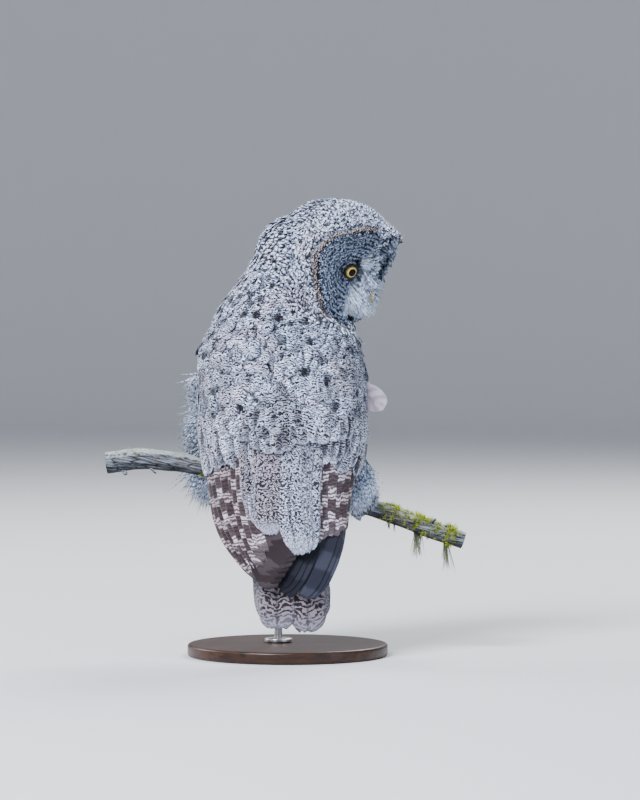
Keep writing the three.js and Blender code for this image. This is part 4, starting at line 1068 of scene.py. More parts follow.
def dress(roots, length, width, pitch, marks, seed, lie=None, jitter=0.12):
    """Fills in what the planting reads: sizes in millimetres, pitch in degrees, and the marks of each feather."""
    rng = np.random.default_rng(seed)
    n = len(roots["at"])
    vary = 1 + jitter * rng.normal(size=n)
    long, wide = np.broadcast_to(length, n) * vary, np.broadcast_to(width, n) * vary
    roots["size"] = joined(wide, long, long) * MM
    roots["span"] = joined(wide, long, rng.random(n))
    roots["pitch"] = np.radians(np.broadcast_to(pitch, n) * (1 + 0.15 * rng.normal(size=n)))
    roots["marks"] = joined(*marks, np.zeros(n))[:, :3]
    roots["lie"] = lie_of(roots["at"], roots["facing"]) if lie is None else lie
    return roots


def picked(roots, mask):
    return {key: value[mask] for key, value in roots.items()}


# The coat of the head, neck and body: silver-grey feathers crossed by fine, dark, wavy bars, with dark streaks down
# the middle of some of those of the back. The markings run on each feather's own length and width.
def feather_finish(
    name, light, dark, streak, bars, fleck=0.9, bands=None, fringe=0.35, vein=0.0, base=0.5, core=(2.2, 6.0)
):
    """A barred feather. It reads the feather's width, length and seed, and its share of streak, of rust, and gain.

    bars: period, wave, slant and bias. bands, a second and wider set: period, colour, share and strength. fleck breaks
    the bars up, fringe lightens the edge, vein raises the barbs, base darkens the root as its dark down and as painted
    shade under the feather over it, and core is the streak's width.
    """
    material, tree, shader = finish(
        name, Roughness=0.78, Specular_IOR_Level=0.22, Sheen_Weight=0.12, Sheen_Roughness=0.5
    )
    given = [add(tree, "UVMap", uv_map="Vane")]
    given += [add(tree, "Attribute", out="Vector", attribute_name=key) for key in ("span", "marks")]
    vane, span, marks = (add(tree, "SeparateXYZ", (vector,)).node.outputs for vector in given)
    off = add(tree, "Math", (vane[0], 0.5), operation="SUBTRACT")
    u = add(tree, "Math", (off, span[0]), operation="MULTIPLY")
    v = add(tree, "Math", (vane[1], span[1]), operation="MULTIPLY")
    own = add(tree, "Math", (span[2], 97.0), operation="MULTIPLY")
    spot = add(tree, "CombineXYZ", (u, v, own))
    side = add(tree, "Math", (u,), operation="ABSOLUTE")
    slow = add(tree, "TexNoise", {"Vector": spot, "Scale": 0.55 / bars[0], "Detail": 2.0})
    fast = add(tree, "TexNoise", {"Vector": spot, "Scale": 1.9 / bars[0], "Detail": 3.0})
    slant = add(tree, "Math", (side, bars[2], v), operation="MULTIPLY_ADD")
    bent = add(tree, "Math", (slow, bars[1], slant), operation="MULTIPLY_ADD")
    turn = add(tree, "Math", (bent, 2 * math.pi / bars[0], own), operation="MULTIPLY_ADD")
    wave = add(tree, "Math", (turn,), operation="SINE")
    broken = add(tree, "MapRange", (fast, 0.25, 0.75, -fleck + bars[3], fleck + bars[3]))
    level = add(tree, "Math", (wave, broken), operation="ADD")
    barred = add(tree, "MapRange", (level, -0.22, 0.27), interpolation_type="SMOOTHSTEP")
    colour = add(tree, "Mix", {0: barred, 6: linear(dark), 7: linear(light)}, **BLENDED)
    if bands:
        back = add(tree, "Math", (v, span[1]), operation="SUBTRACT")
        drift = add(tree, "Math", (slow, bands[0] * 0.3, back), operation="MULTIPLY_ADD")
        phase = add(tree, "Math", (span[2], 3.3), operation="MULTIPLY")
        turn = add(tree, "Math", (drift, 2 * math.pi / bands[0], phase), operation="MULTIPLY_ADD")
        wave = add(tree, "Math", (turn,), operation="SINE")
        rough_wave = add(tree, "Math", (fast, 0.6, wave), operation="MULTIPLY_ADD")
        edge = math.cos(math.pi * bands[2]) + 0.3
        shade = add(tree, "MapRange", (rough_wave, edge - 0.22, edge + 0.22, 0.0, bands[3]))
        colour = add(tree, "Mix", {0: shade, 6: colour, 7: linear(bands[1])}, **BLENDED)
    rust = add(tree, "Math", (marks[1], 1.0), operation="MULTIPLY", use_clamp=True)
    colour = add(tree, "Mix", {0: rust, 6: colour, 7: linear("#c9a99b")}, **MULTIPLIED)
    wide = add(tree, "Math", (off,), operation="ABSOLUTE")
    rim = add(tree, "MapRange", (wide, 0.4, 0.5, 0.0, fringe * 0.7))
    tip = add(tree, "MapRange", (vane[1], 0.88, 0.99, 0.0, fringe))
    rim = add(tree, "Math", (rim, tip), operation="MAXIMUM")
    colour = add(tree, "Mix", {0: rim, 6: colour, 7: linear(light)}, **BLENDED)
    thin = add(tree, "Math", (side, slow, 0.0), operation="DIVIDE")
    barb = add(tree, "Math", (side, -0.9, v), operation="MULTIPLY_ADD")
    barb = add(tree, "Math", (barb, 2 * math.pi / 2.3), operation="MULTIPLY")
    barb = add(tree, "Math", (barb,), operation="SINE")
    thin = add(tree, "Math", (barb, core[1] * 0.2, thin), operation="MULTIPLY_ADD")
    core = add(tree, "MapRange", (thin, core[0], core[1], 1.0, 0.0))
    reach = add(tree, "MapRange", (vane[1], 0.35, 0.6), interpolation_type="SMOOTHSTEP")
    stop = add(tree, "MapRange", (vane[1], 0.95, 1.0, 1.0, 0.3))
    core = add(tree, "Math", (core, reach), operation="MULTIPLY")
    core = add(tree, "Math", (core, stop), operation="MULTIPLY")
    core = add(tree, "Math", (core, marks[0]), operation="MULTIPLY", use_clamp=True)
    colour = add(tree, "Mix", {0: core, 6: colour, 7: linear(streak)}, **BLENDED)
    # Painted shade: each feather darkens towards its root, partly its own dark down, partly the shade of the feather
    # over it
    under = add(tree, "MapRange", (vane[1], 0.12, 0.55, base, 1.0))
    gain = add(tree, "Math", (marks[2], 1.0), operation="ADD")
    gain = add(tree, "Math", (gain, under), operation="MULTIPLY")
    colour = add(tree, "Mix", {0: 1.0, 6: colour, 7: gain}, **MULTIPLIED)
    feed(shader, {"Base Color": colour})
    if vein:
        # Barbs: fine parallel lines out from the shaft at an angle, and the shaft as a ridge
        barb = add(tree, "Math", (side, -0.8, v), operation="MULTIPLY_ADD")
        barb = add(tree, "Math", (barb, 2 * math.pi / 0.9), operation="MULTIPLY")
        barb = add(tree, "Math", (barb,), operation="SINE")
        shaft = add(tree, "MapRange", (side, 0.3, 0.9, 3.0, 0.0))
        height = add(tree, "Math", (barb, 0.4, shaft), operation="MULTIPLY_ADD")
        bump = add(tree, "Bump", {"Strength": vein, "Distance": 0.0003, "Height": height})
        feed(shader, {"Normal": bump})
    return material


# Soft body plumage: silver grey with slate-brown bars about 4 mm apart
BODY = ("#dbe7fd", "#303440", "#2c2831", (4.4, 15.0, -0.3, 0.08))
body_finish = feather_finish("feathers_silver_barred", *BODY, fleck=1.6, fringe=0.4, core=(5, 17))
# Crown and nape: short feathers, each white with slate bars, so that the head looks flecked
CROWN = ("#e0ebff", "#363c4e", "#24262f", (7.0, 9.0, 0, 0.3))
head_finish = feather_finish("feathers_crown_flecked", *CROWN, fleck=1.7, fringe=0.2, base=0.65, core=(4, 10))


def body_gap(p):
    """How far apart the coat's feathers grow, which is a little under a third of their length."""
    return coat_length(p) * np.interp(p[:, 2], [420, 520], [0.215, 0.27])


def coat_length(p):
    """Length of the feathers in millimetres: 9 at the face's rim, 12 on the crown, 18 on the nape, then longer."""
    out, right, up = in_head(p)
    distance = np.linalg.norm(p - HEAD["centre"], axis=1)
    head = mix(8.5, 15, ease(-out / distance, -0.45, 0.7))
    body = np.interp(p[:, 2], [236, 300, 420, 480, 530], [34, 38, 34, 27, 20])
    return mix(head, body, ease(distance, 92, 150))


def covered(p):
    """True where the wings and tail lie over the skin, so that nothing grows there."""
    x, y, half, back, front = np.moveaxis(sections(p[:, 2]), -1, 0)
    angle = np.arctan2(np.abs(p[:, 0] - x) / half, -(p[:, 1] - y) / np.where(p[:, 1] > y, front, back))
    return (p[:, 2] < 392) & (angle < 1.45)


def limb_distance(p):
    """How far from the nearer shank or foot, and the share of the way down it."""
    best, down = np.full(len(p), 1e9), np.zeros(len(p))
    for leg in LEGS.values():
        line = np.vstack([shank_line(leg), round_perch(foot_at(leg["x"]), 0, 0, TOE["radius"])])
        for k, spot in enumerate(smooth_line(line, np.linspace(0, 1, 24))):
            gap = np.linalg.norm(p - spot, axis=1)
            down = np.where(gap < best, k / 23, down)
            best = np.minimum(best, gap)
    return best, down


def far_brow(angle):
    """True in the far disc's upper corner, which the crown's feathers hang over."""
    return (angle > math.radians(312)) | (angle < math.radians(4))


def general_gap(p):
    """Gaps of the coat, which is bare on the face, the shanks and feet, and under the wings."""
    share, angle = face_share(p)
    distance, down = limb_distance(p)
    leg = (p[:, 2] < 300) & (distance < 34) & (down > 0.25)
    gap = body_gap(p)
    gap[(share < np.where(far_brow(angle), 0.74, 1.045)) | covered(p) | leg] = 0
    return gap


def hugging(roots, length, pitch):
    """The pitch that holds each tip just as far off the skin, however the skin curves beneath the feather."""
    tips = roots["at"] + lie_of(roots["at"], roots["facing"]) * length[:, None]
    found = [skin_tree.find_nearest(Vector(tip * MM)) for tip in tips]
    spot, facing = (np.array([hit[k] for hit in found]) for k in (0, 1))
    way = spot / MM + facing * (length * np.sin(np.radians(pitch)))[:, None] - roots["at"]
    return np.degrees(np.arcsin(np.clip((unit(way) * roots["facing"]).sum(1), -0.35, 0.6)))


coat = scatter(general_gap, 11)
length = coat_length(coat["at"])
head_part = np.linalg.norm(coat["at"] - HEAD["centre"], axis=1) < 118
rng = np.random.default_rng(3)
patchy = np.array([rough(p, 46, 3) for p in coat["at"]])
n = len(length)
# Dark marks a few feathers wide stand a regular distance apart, wider down the back than on the head
ends = coat["at"] + lie_of(coat["at"], coat["facing"]) * 0.8 * length[:, None]
apart = np.interp(coat["at"][:, 2], [470, 560], [21, 12])
chosen = ends[:0]
for i in rng.permutation(n):
    if len(chosen) == 0 or np.linalg.norm(chosen - ends[i], axis=1).min() > apart[i]:
        chosen = np.vstack([chosen, ends[i]])
spots = near_tree(chosen)
away = np.array([spots.find(end)[2] for end in ends])
smudge = np.clip(1.3 - away / np.interp(coat["at"][:, 2], [470, 560], [9.0, 3.8]), 0, 1) * rng.uniform(0.6, 1, n)
tint = np.clip(0.12 + 0.7 * patchy, 0, 0.5)
fine = np.array([rough(p, 15, 2) for p in coat["at"]])
# The broad patches of gain are partly random tone and partly painted light and shade for the folds of the coat
gain = 0.08 * rng.normal(size=n) + np.where(head_part, 0.3, 0.45) * patchy - np.where(head_part, 0.5, 0.42) * smudge
gain += np.where(head_part, 0.1, 0.35) * fine
out, right, up = in_head(coat["at"])
share, angle = face_share(coat["at"])
bow = (np.abs(share - 1.085) < 0.03) & (np.abs(np.abs(np.degrees(angle) - 180) - 34) < 30)
chin = (np.abs(right) < 14) & (up < -52) & (up > -80) & (out > 5)
gain = np.where(chin, -0.85, gain + np.where((share < 1.045) & (out > 0), 0.25, 0))
pitch = np.degrees(np.arcsin(np.clip(COAT_DEPTH / (1.3 * length), 0.07, 0.33)))
pitch += 14 * ease(up, 52, 66) * ease(out, -5, 20)
pitch = np.where(head_part, pitch, hugging(coat, length, pitch))
# Painted shade: the body is darkened towards both sides, the left more, where its form turns from the light
gain -= np.where(coat["at"][:, 0] < 0, 0.26, 0.16) * ~head_part * ease(np.abs(coat["at"][:, 0] + 5), 45, 110)
dress(coat, length, np.where(head_part, 0.52, 0.62) * length, pitch, (smudge, tint, gain), 5)
small, body = head_part & ~bow, ~head_part
back = coat["at"][:, 1] < sections(coat["at"][:, 2])[:, 1]
left = coat["at"][:, 0] < -3
parts = {
    "coat_head_right": (small & (right > 0), "scale", head_finish),
    "coat_head_left": (small & (right <= 0), "scale", head_finish),
    "coat_back_left": (body & back & left, "contour", body_finish),
    "coat_back_right": (body & back & ~left, "contour", body_finish),
    "coat_breast_left": (body & ~back & left, "contour", body_finish),
    "coat_breast_right": (body & ~back & ~left, "contour", body_finish),
}
for seed, (name, (mask, forms, material)) in enumerate(parts.items()):
    planted(name, picked(coat, mask), forms, material, sway=0.14, seed=seed)


# The facial discs: fine, stiff, hair-like feathers that radiate from each eye, bluish grey with dark rings round the
# eye, white crescents by the bill, and a dense ruff of short feathers round the rim, black inside and flecked outside.
eyes = np.array([on_head(EYE["out"], side * EYE["side"], EYE["up"]) for side in (-1, 1)])
RING = 6.5  # mm from one dark ring about the eye to the next


def face_finish(name, light, dark):
    """Concentric broken rings about the nearer eye. It reads a feather's share of white, of black, and gain."""
    material, tree, shader = finish(name, Roughness=0.8, Specular_IOR_Level=0.2, Sheen_Weight=0.1)
    place = add(tree, "TexCoord", out="Object")
    gaps = [add(tree, "VectorMath", (place, Vector(eye * MM)), out=1, operation="DISTANCE") for eye in eyes]
    near = add(tree, "Math", gaps, operation="MINIMUM")
    slow = add(tree, "TexNoise", {"Vector": place, "Scale": 95.0, "Detail": 2.0})
    fast = add(tree, "TexNoise", {"Vector": place, "Scale": 240.0, "Detail": 2.0})
    bent = add(tree, "Math", (slow, 0.014, near), operation="MULTIPLY_ADD")
    turn = add(tree, "Math", (bent, 2 * math.pi / (RING * MM)), operation="MULTIPLY")
    wave = add(tree, "Math", (turn,), operation="SINE")
    broken = add(tree, "MapRange", (fast, 0.35, 0.65, -1.25, 1.25))
    level = add(tree, "Math", (wave, broken), operation="ADD")
    ringed = add(tree, "MapRange", (level, -0.9, 0.9), interpolation_type="SMOOTHSTEP")
    colour = add(tree, "Mix", {0: ringed, 6: linear(dark), 7: linear(light)}, **BLENDED)
    marks = add(tree, "Attribute", out="Vector", attribute_name="marks")
    marks = add(tree, "SeparateXYZ", (marks,)).node.outputs
    white = add(tree, "Mix", {0: marks[0], 6: colour, 7: linear("#e4eefc")}, **BLENDED)
    black = add(tree, "Mix", {0: marks[1], 6: white, 7: linear("#15151a")}, **BLENDED)
    gain = add(tree, "Math", (marks[2], 1.0), operation="ADD")
    feed(shader, {"Base Color": add(tree, "Mix", {0: 1.0, 6: black, 7: gain}, **MULTIPLIED)})
    return material


disc_finish = face_finish("face_feathers_ringed", "#b0bdd3", "#3d4453")


def eye_gap(p):
    return np.linalg.norm(p[:, None] - eyes[None], axis=2).min(axis=1)


def face_gap(p):
    share, angle = face_share(p)
    gap = np.interp(eye_gap(p), [12, 20, 60], [1.1, 1.5, 2.2])
    gap[(share > 0.995) | (eye_gap(p) < 12.2)] = 0
    gap[(share > 0.74) & far_brow(angle)] = 0
    return gap


def face_marks(p):
    """White of the crescents between the eyes and beside the bill, and black close round the eyes and on the chin."""
    _, right, up = in_head(p)
    side, heights = np.abs(right), [-60, -40, -20, 0, 20, 38]
    middle = np.interp(up, heights, [17, 15, 11, 9, 9, 8])
    wide = np.interp(up, heights, [11, 11, 10, 8.5, 8, 4])
    crescent = np.clip(1.5 - np.abs(side - middle) / wide * 1.2, 0, 1) * ease(up, -66, -52) * (1 - ease(up, 28, 42))
    gap = eye_gap(p)
    inner = (side < EYE["side"] - 5) & (gap < 20)
    dark = np.clip((12.9 - gap) / 1.2, 0, 0.8) + np.where(inner, np.clip((20 - gap) / 2.5, 0, 1) * 0.85, 0)
    chin = ((side < 13) & (up < -52)) * 1.0
    return np.clip(crescent, 0, 1) * (1 - np.clip(dark, 0, 1)), np.clip(dark + chin, 0, 1)


disc = scatter(face_gap, 21)
p = disc["at"]
out, right, up = in_head(p)
nearest = eyes[np.linalg.norm(p[:, None] - eyes[None], axis=2).argmin(axis=1)]
lie = along_skin(p - nearest, disc["facing"])
white, black = face_marks(p)
gap = eye_gap(p)
share, angle = face_share(p)
to_rim = np.maximum(0, 0.985 - share) * disc_rim(angle)
length = np.minimum(np.interp(gap, [12, 18, 40], [4.2, 7, 11]) * (1 + 0.25 * white), 3.5 + to_rim)
rng = np.random.default_rng(22)
# Disc feathers vary at random in tone, and the upper disc is darkened as a painted shadow of the brow
shade = 0.1 * rng.normal(size=len(p)) - 0.3 * ease(up, 10, 60)
# The ridge between the eyes carries longer feathers, which stand up from it
ridge = np.exp(-((right / 8) ** 2)) * ease(up, -8, 4) * (1 - ease(up, 30, 40))
length += 6 * ridge
dress(disc, length, length * 0.3, 13 + 6 * white + 16 * ridge, (white, black, shade), 23, lie=lie)
planted("face_disc_right", picked(disc, right > 0), "bristle", disc_finish, sway=0.16, seed=31)
planted("face_disc_left", picked(disc, right <= 0), "bristle", disc_finish, sway=0.16, seed=32)

# Short feathers cover the lids outside their rims, black towards the bill
for name, side, eye in (("left", -1, eyes[0]), ("right", 1, eyes[1])):
    spots, ways, axis = [], [], eye_axis(side)
    across = unit(np.cross(axis, CROWNWARD))
    over = np.cross(across, axis)
    for reach in (11.7, 12.3, 12.9, 13.5):
        turn = np.arange(0, 2 * np.pi, 1.0 / reach) + reach
        ways.append(np.outer(np.cos(turn), across) + np.outer(np.sin(turn), over))
        spots.append(eye + ways[-1] * reach + axis * (math.sqrt(EYE["radius"] ** 2 - reach**2) + 0.2))
    at, ways = np.vstack(spots), np.vstack(ways)
    lids = set_on(at)
    lids["at"], lids["facing"] = at, unit(at - eye)
    inward = (ways @ RIGHTWARD) * -side
    rng = np.random.default_rng(24)
    marks = (0, np.clip(inward * 2.5 - 0.4, 0, 0.9), -0.25 + 0.15 * rng.normal(size=len(at)))
    dress(lids, 4.6, 1.5, 9, marks, 25, lie=along_skin(ways, lids["facing"]))
    planted(f"lid_feathers_{name}", lids, "bristle", disc_finish, sway=0.2, seed=33)

# The ruff: rows along the rim of each disc, from the brow round the cheek to the chin
ruff_black = feather_finish("ruff_black", "#1b1a1e", "#0e0d10", "#0b0b0d", (3.0, 2.0, 0, 0), fringe=0.1)
FLECKED = ("#b9adab", "#33241f", "#241a19", (4.2, 5.0, 0, -0.2))
ruff_flecked = feather_finish("ruff_flecked_brown", *FLECKED, fleck=1.4, fringe=0.15)
for name, shares, length, forms, material, pitch in (
    ("ruff_inner", (0.985, 0.995, 1.005, 1.015), 5.5, "bristle", ruff_black, 38),
    ("ruff_outer", (1.018, 1.034, 1.05, 1.068), 7.5, "scale", ruff_flecked, 34),
):
    spots = []
    for k, share in enumerate(shares):
        angle = np.arange(0, 2 * np.pi, 1.35 / 85) + 0.008 * k
        turn = np.degrees(np.minimum(angle, 2 * np.pi - angle))
        angle = angle[(turn > np.where(angle < np.pi, 7, 46)) & (turn < 142)]
        radius = disc_rim(angle) * share
        back = np.maximum(0, share - 1) * 60
        spots.append(on_head(rim_out(angle) - back, radius * np.sin(angle), radius * np.cos(angle)))
    ruff = set_on(np.vstack(spots))
    outward = unit(ruff["at"] - HEAD["centre"] - np.outer(in_head(ruff["at"])[0], AHEAD))
    away = along_skin(outward - 0.9 * AHEAD, ruff["facing"])
    rng = np.random.default_rng(len(name))
    dress(ruff, length, length * 0.5, pitch, (0, 0, 0.2 * rng.normal(size=len(away))), 41, lie=away)
    planted(name, ruff, forms, material, sway=0.2, seed=51)

# Under the feathers the skin carries the same markings: rings on the discs, mottled slate and grey elsewhere
mottled, tree, shader = finish("skin_mottled_down", Roughness=0.85, Specular_IOR_Level=0.15, Sheen_Weight=0.1)
place = add(tree, "TexCoord", out="Object")
stretched = add(tree, "Mapping", {"Vector": place, "Scale": (1, 1, 0.6)})
flecks = add(tree, "TexNoise", {"Vector": stretched, "Scale": 240.0, "Detail": 3.0})
grey = add(tree, "ValToRGB", (flecks,), stops=[(0.42, "#3d3b42"), (0.58, "#b4bac5")])
feed(shader, {"Base Color": grey})
for material in (mottled, disc_finish):
    skin.data.materials.append(material)
carry(skin.data, "marks", joined(*face_marks(skin_at), -0.3))
middles = np.array([p.center for p in skin.data.polygons]) / MM
skin.data.polygons.foreach_set("material_index", (face_share(middles)[0] < 0.985).astype(np.int32))

# Bristles of the lores: pale, soft and long, out over the root of the bill and down past it
bristle_finish = face_finish("lore_bristles_white", "#cbd8ee", "#3d4455")


def loral_gap(p):
    out, right, up = in_head(p)
    side = np.abs(right)
    beside = (side > 5) & (side < 17) & (up > -50) & (up < 10)
    grows = beside & (face_share(p)[0] < 0.97) & (eye_gap(p) > 19)
    return np.where(grows, 1.5, 0)


loral = scatter(loral_gap, 61)
out, right, up = in_head(loral["at"])
goal = on_head(
    np.interp(up, [-50, -28, -5, 8], [62, 78, 89, 88]),
    np.sign(right) * np.clip(0.8 * np.abs(right), 7.5, 11),
    np.interp(up, [-50, -28, -5, 8], [-60, -48, -22, -9]),
)


def aimed(roots, goal, least=-0.2, most=0.97):
    """Points roots at their goals: the lie and pitch that reach them, and how far they are."""
    way = goal - roots["at"]
    lift = (unit(way) * roots["facing"]).sum(1)
    lie = along_skin(way, roots["facing"])
    return lie, np.degrees(np.arcsin(np.clip(lift, least, most))), np.linalg.norm(way, axis=1)


lie, pitch, far = aimed(loral, goal, 0.1, 0.85)
length = np.clip(1.05 * far, 10, 36)
rng = np.random.default_rng(62)
white = rng.random(len(out)) ** 0.5 * mix(1, 0.45, ease(up, -26, -4))
shade = rng.uniform(-0.4, 0.5, len(out)) + 0.15 * ease(up, -10, -30)
dress(loral, length, length * 0.5, pitch, (white, 0, shade), 63, lie=lie)
planted("lore_bristles", loral, "whisker", bristle_finish, sway=0.12, seed=64)

# The far disc flares forward beside the brow, where its edge is seen past the bill
rng = np.random.default_rng(66)
n = 900
k, near = rng.random(n), rng.random(n)
turn, share = np.radians(mix(336, 268, k)), mix(0.4, 0.95, near)
rim = disc_rim(turn) * share
flare = set_on(on_head(face_out(share, turn), rim * np.sin(turn), rim * np.cos(turn)))
edge = on_head(mix(70, 40, k), mix(-26, -80, k), mix(43.5, -15.5, k))
goal = mix(flare["at"], edge, mix(0.4, 1, near)[:, None])
inner = ((goal - flare["at"]) * flare["facing"]).sum(1) > 0
inner &= np.minimum(eye_gap(goal), eye_gap((goal + flare["at"]) / 2)) > 25
flare, goal, near = picked(flare, inner), goal[inner], near[inner]
n = len(near)
lie, pitch, far = aimed(flare, goal)
far = np.clip(far, 8, 46)
# Painted light: the inner feathers of the flare, in the cleft that the brow shades, are made lighter
marks = (0.25 * rng.random(n), 0.15, 0.15 * rng.normal(size=n) + mix(0.15, 0, near))
dress(flare, far, 3.5 + 0.18 * far, pitch, marks, 67, lie=lie)
planted("face_far_brow", flare, "lance", disc_finish, sway=0.1, seed=68)

# A thin white bow of short feathers lies under each disc
band = picked(coat, bow)
band["marks"] = band["marks"] * 0 + (0.9, 0, 0.02)
band["size"] = band["size"] * (0.6, 0.85, 0.85)
planted("coat_white_bow", band, "scale", bristle_finish, sway=0.14, seed=65)


# The legs and toes are covered with soft, hair-like, pale grey feathers, which hang past the branch on both sides
# and hide the claws' roots. Longer plumes of the same down stand out from the left flank.
PALE_DOWN = ("#e2edff", "#475063", "#4a4e5a", (9.0, 8.0, -0.2, 0.45))
leg_finish = feather_finish("leg_down_pale", *PALE_DOWN, fleck=1.2, fringe=0.3, base=0.7)


def leg_gap(p):
    distance, down = limb_distance(p)
    grows = (p[:, 2] < 300) & (distance < 38) & (down > 0.2)
    return np.where(grows, np.interp(down, [0, 0.6, 1], [4.6, 3.6, 2.4]), 0)


legs = scatter(leg_gap, 71)
_, down = limb_distance(legs["at"])
length = np.interp(down, [0.2, 0.7, 1], [26, 18, 9])
lie = along_skin(np.array([0, 0, -1.0]) + np.zeros_like(legs["at"]), legs["facing"])
rng = np.random.default_rng(72)
dress(legs, length, length * 0.9, 12, (0, 0, 0.08 * rng.normal(size=len(down))), 73, lie=lie)
planted("leg_down", legs, "down", leg_finish, slot="leg_plumage", sway=0.3, seed=74)

# Long soft feathers hang from each shank over the branch: from the right one over its near side, from the left
# one over its far side
for name, leg in LEGS.items():
    rng = np.random.default_rng(81 + leg["face"])
    foot = foot_at(leg["x"])
    over = round_perch(foot, 0, 0, 0)[1] + leg["face"] * (foot[2] + 8)
    n = 820
    spots = smooth_line(shank_line(leg), rng.uniform(0.3, 0.85, n))
    spots += joined(rng.uniform(-22, 22, n), leg["face"] * rng.uniform(6, 26, n), 0 * rng.random(n))
    drape = set_on(spots)
    across = np.clip((drape["at"][:, 0] - leg["x"]) / 40 + 0.5 + 0.12 * rng.normal(size=n), 0, 1)
    lowest = 0.65 if leg["face"] > 0 else 0.3
    low = leg["low"] + 6 + 26 * rng.random(n) ** 1.5 + 88 * (across - lowest) ** 2
    goal = joined(mix(*leg["fan"], across), over + leg["face"] * rng.uniform(0, 9, n), low)
    lie, pitch, far = aimed(drape, goal)
    far = np.clip(far, 20, 85)
    clump = np.array([rough(p, 13, 2) for p in goal])
    # Painted light: the right shank's drape is made lighter than the left one's
    shade = 0.15 * rng.normal(size=n) + 0.6 * clump + (0.32 if name == "right" else 0)
    dress(drape, far, far * 0.55, pitch, (0, 0, shade), 82, lie=lie)
    planted(f"leg_drape_{name}", drape, "down", leg_finish, slot="leg_plumage", sway=0.1, seed=83)
    # Narrow barred feathers lie among the down
    narrow = picked(drape, rng.random(n) < 0.4)
    narrow["size"] = narrow["size"] * (0.5, 0.8, 0.8)
    narrow["span"] = narrow["span"] * (0.5, 0.8, 1)
    planted(f"leg_feathers_{name}", narrow, "lance", leg_finish, slot="leg_plumage", sway=0.14, seed=84)

# Plumes of the left flank, blown out past the wing in two bunches
spots, goals = [], []
rng = np.random.default_rng(91)
for count, s, z, reach, fall in ((330, (212, 238), (380, 426), 40, 24), (420, (200, 234), (312, 374), 44, 40)):
    spots.append(on_body(-rng.uniform(*s, count), rng.uniform(*z, count), -COAT_DEPTH))
    out = [-reach * rng.uniform(0.3, 1.05, count), rng.uniform(-8, 8, count), -fall - 12 * rng.random(count)]
    goals.append(spots[-1] + joined(*out))
plumes = set_on(np.vstack(spots))
lie, pitch, far = aimed(plumes, np.vstack(goals))
dress(plumes, far, far * 0.6, pitch, (0, 0, 0.2 * rng.normal(size=len(far)) - 0.2), 92, lie=lie)
planted("flank_plumes", plumes, "down", leg_finish, sway=0.16, seed=93)


# The folded wings lie on the back, the left over the right where their tips cross. Each has long primaries and
# secondaries, broad tertials and rows of coverts, laid from the lowest tier up, with a shaft down each vane.
def seeded_wave(seed, x):
    """A smooth irregular wave along x, from about -1 to 1, for the worn edges of a vane."""
    slow, middling = np.sin(x * 7.3 + seed * 2.1), np.sin(x * 17.9 + seed * 5.7)
    return slow * 0.5 + middling * 0.3 + np.sin(x * 41.0 + seed * 3.3) * 0.2


ACROSS = np.array([-1, -0.86, -0.6, -0.32, -0.07, 0.07, 0.32, 0.6, 0.86, 1.0])


class Vanes:
    """Large vanes gathered into one mesh, each with its own cell of the OFBake map."""

    def __init__(self, cells):
        self.verts, self.faces, self.vane, self.bake, self.span, self.marks = [], [], [], [], [], []
        self.cells, self.made = cells, 0

    def lay(self, place, half, long, rows, marks=(0, 0, 0), thick=0.7, tip=0.85, fray=0.02):
        """One vane. place(t, w, out) gives points at t along it and w to its side, out from its own lie."""
        seed = self.made
        t = (1 - np.cos(np.linspace(0, np.pi, rows) * 0.92)) / (1 - math.cos(np.pi * 0.92))
        t = np.linspace(0, 1, rows) * 0.4 + t * 0.6
        shape = mix(0.5, 1, ease(t, 0, 0.35)) * np.sqrt(1 - np.maximum(0, (t - tip) / (1.015 - tip)) ** 2.4)
        t, u = np.broadcast_arrays(t[:, None], ACROSS[None])
        edge = 1 + fray * 1.4 * seeded_wave(seed, t * 3 + (u > 0) * 5) * np.abs(u)
        w = half * shape[:, None] * u * edge
        at = t - fray * (0.5 + 0.5 * seeded_wave(seed + 9, u * 1.7)) * t**6
        arch = 0.9 * (1 - u**2) * half / 14 + 0.35 * np.exp(-((w / 1.3) ** 2))
        thin = thick * (1 - 0.6 * u**2) * (1 - 0.4 * t)
        start, count = len(self.verts), t.size
        self.verts += place(at, w, arch).reshape(-1, 3).tolist() + place(at, w, arch - thin).reshape(-1, 3).tolist()
        columns = len(ACROSS)
        top = np.array(grid_faces(rows, columns))
        ring = [*range(columns), *(r * columns + columns - 1 for r in range(1, rows))]
        ring += [*range((rows - 1) * columns + columns - 2, (rows - 1) * columns - 1, -1)]
        ring += [r * columns for r in range(rows - 2, 0, -1)]
        sides = [(a + count, b + count, b, a) for a, b in zip(ring, ring[1:] + ring[:1])]
        self.faces += [tuple(start + i for i in f) for f in [*top.tolist(), *(top[:, ::-1] + count).tolist(), *sides]]
        vane = joined(0.5 + 0.5 * u, t).reshape(-1, 2)
        corner = np.array([self.made % self.cells, self.made // self.cells]) / self.cells
        self.vane += np.vstack([vane, vane]).tolist()
        self.bake += (corner + (0.06 + 0.88 * np.vstack([vane, vane])) / self.cells).tolist()
        self.span += [[2 * half, long, (seed * 0.381) % 1]] * (2 * count)
        self.marks += [list(marks)] * (2 * count)
        self.made += 1

    def piece(self, name, material, slot, *nodes):
        piece = mesh_piece(name, self.verts, self.faces, material)
        mapped_flat(piece.data, "OFBake", self.bake)
        mapped_flat(piece.data, "Vane", self.vane)
        carry(piece.data, "span", self.span)
        carry(piece.data, "marks", self.marks)
        fitted(piece, slot, *nodes)


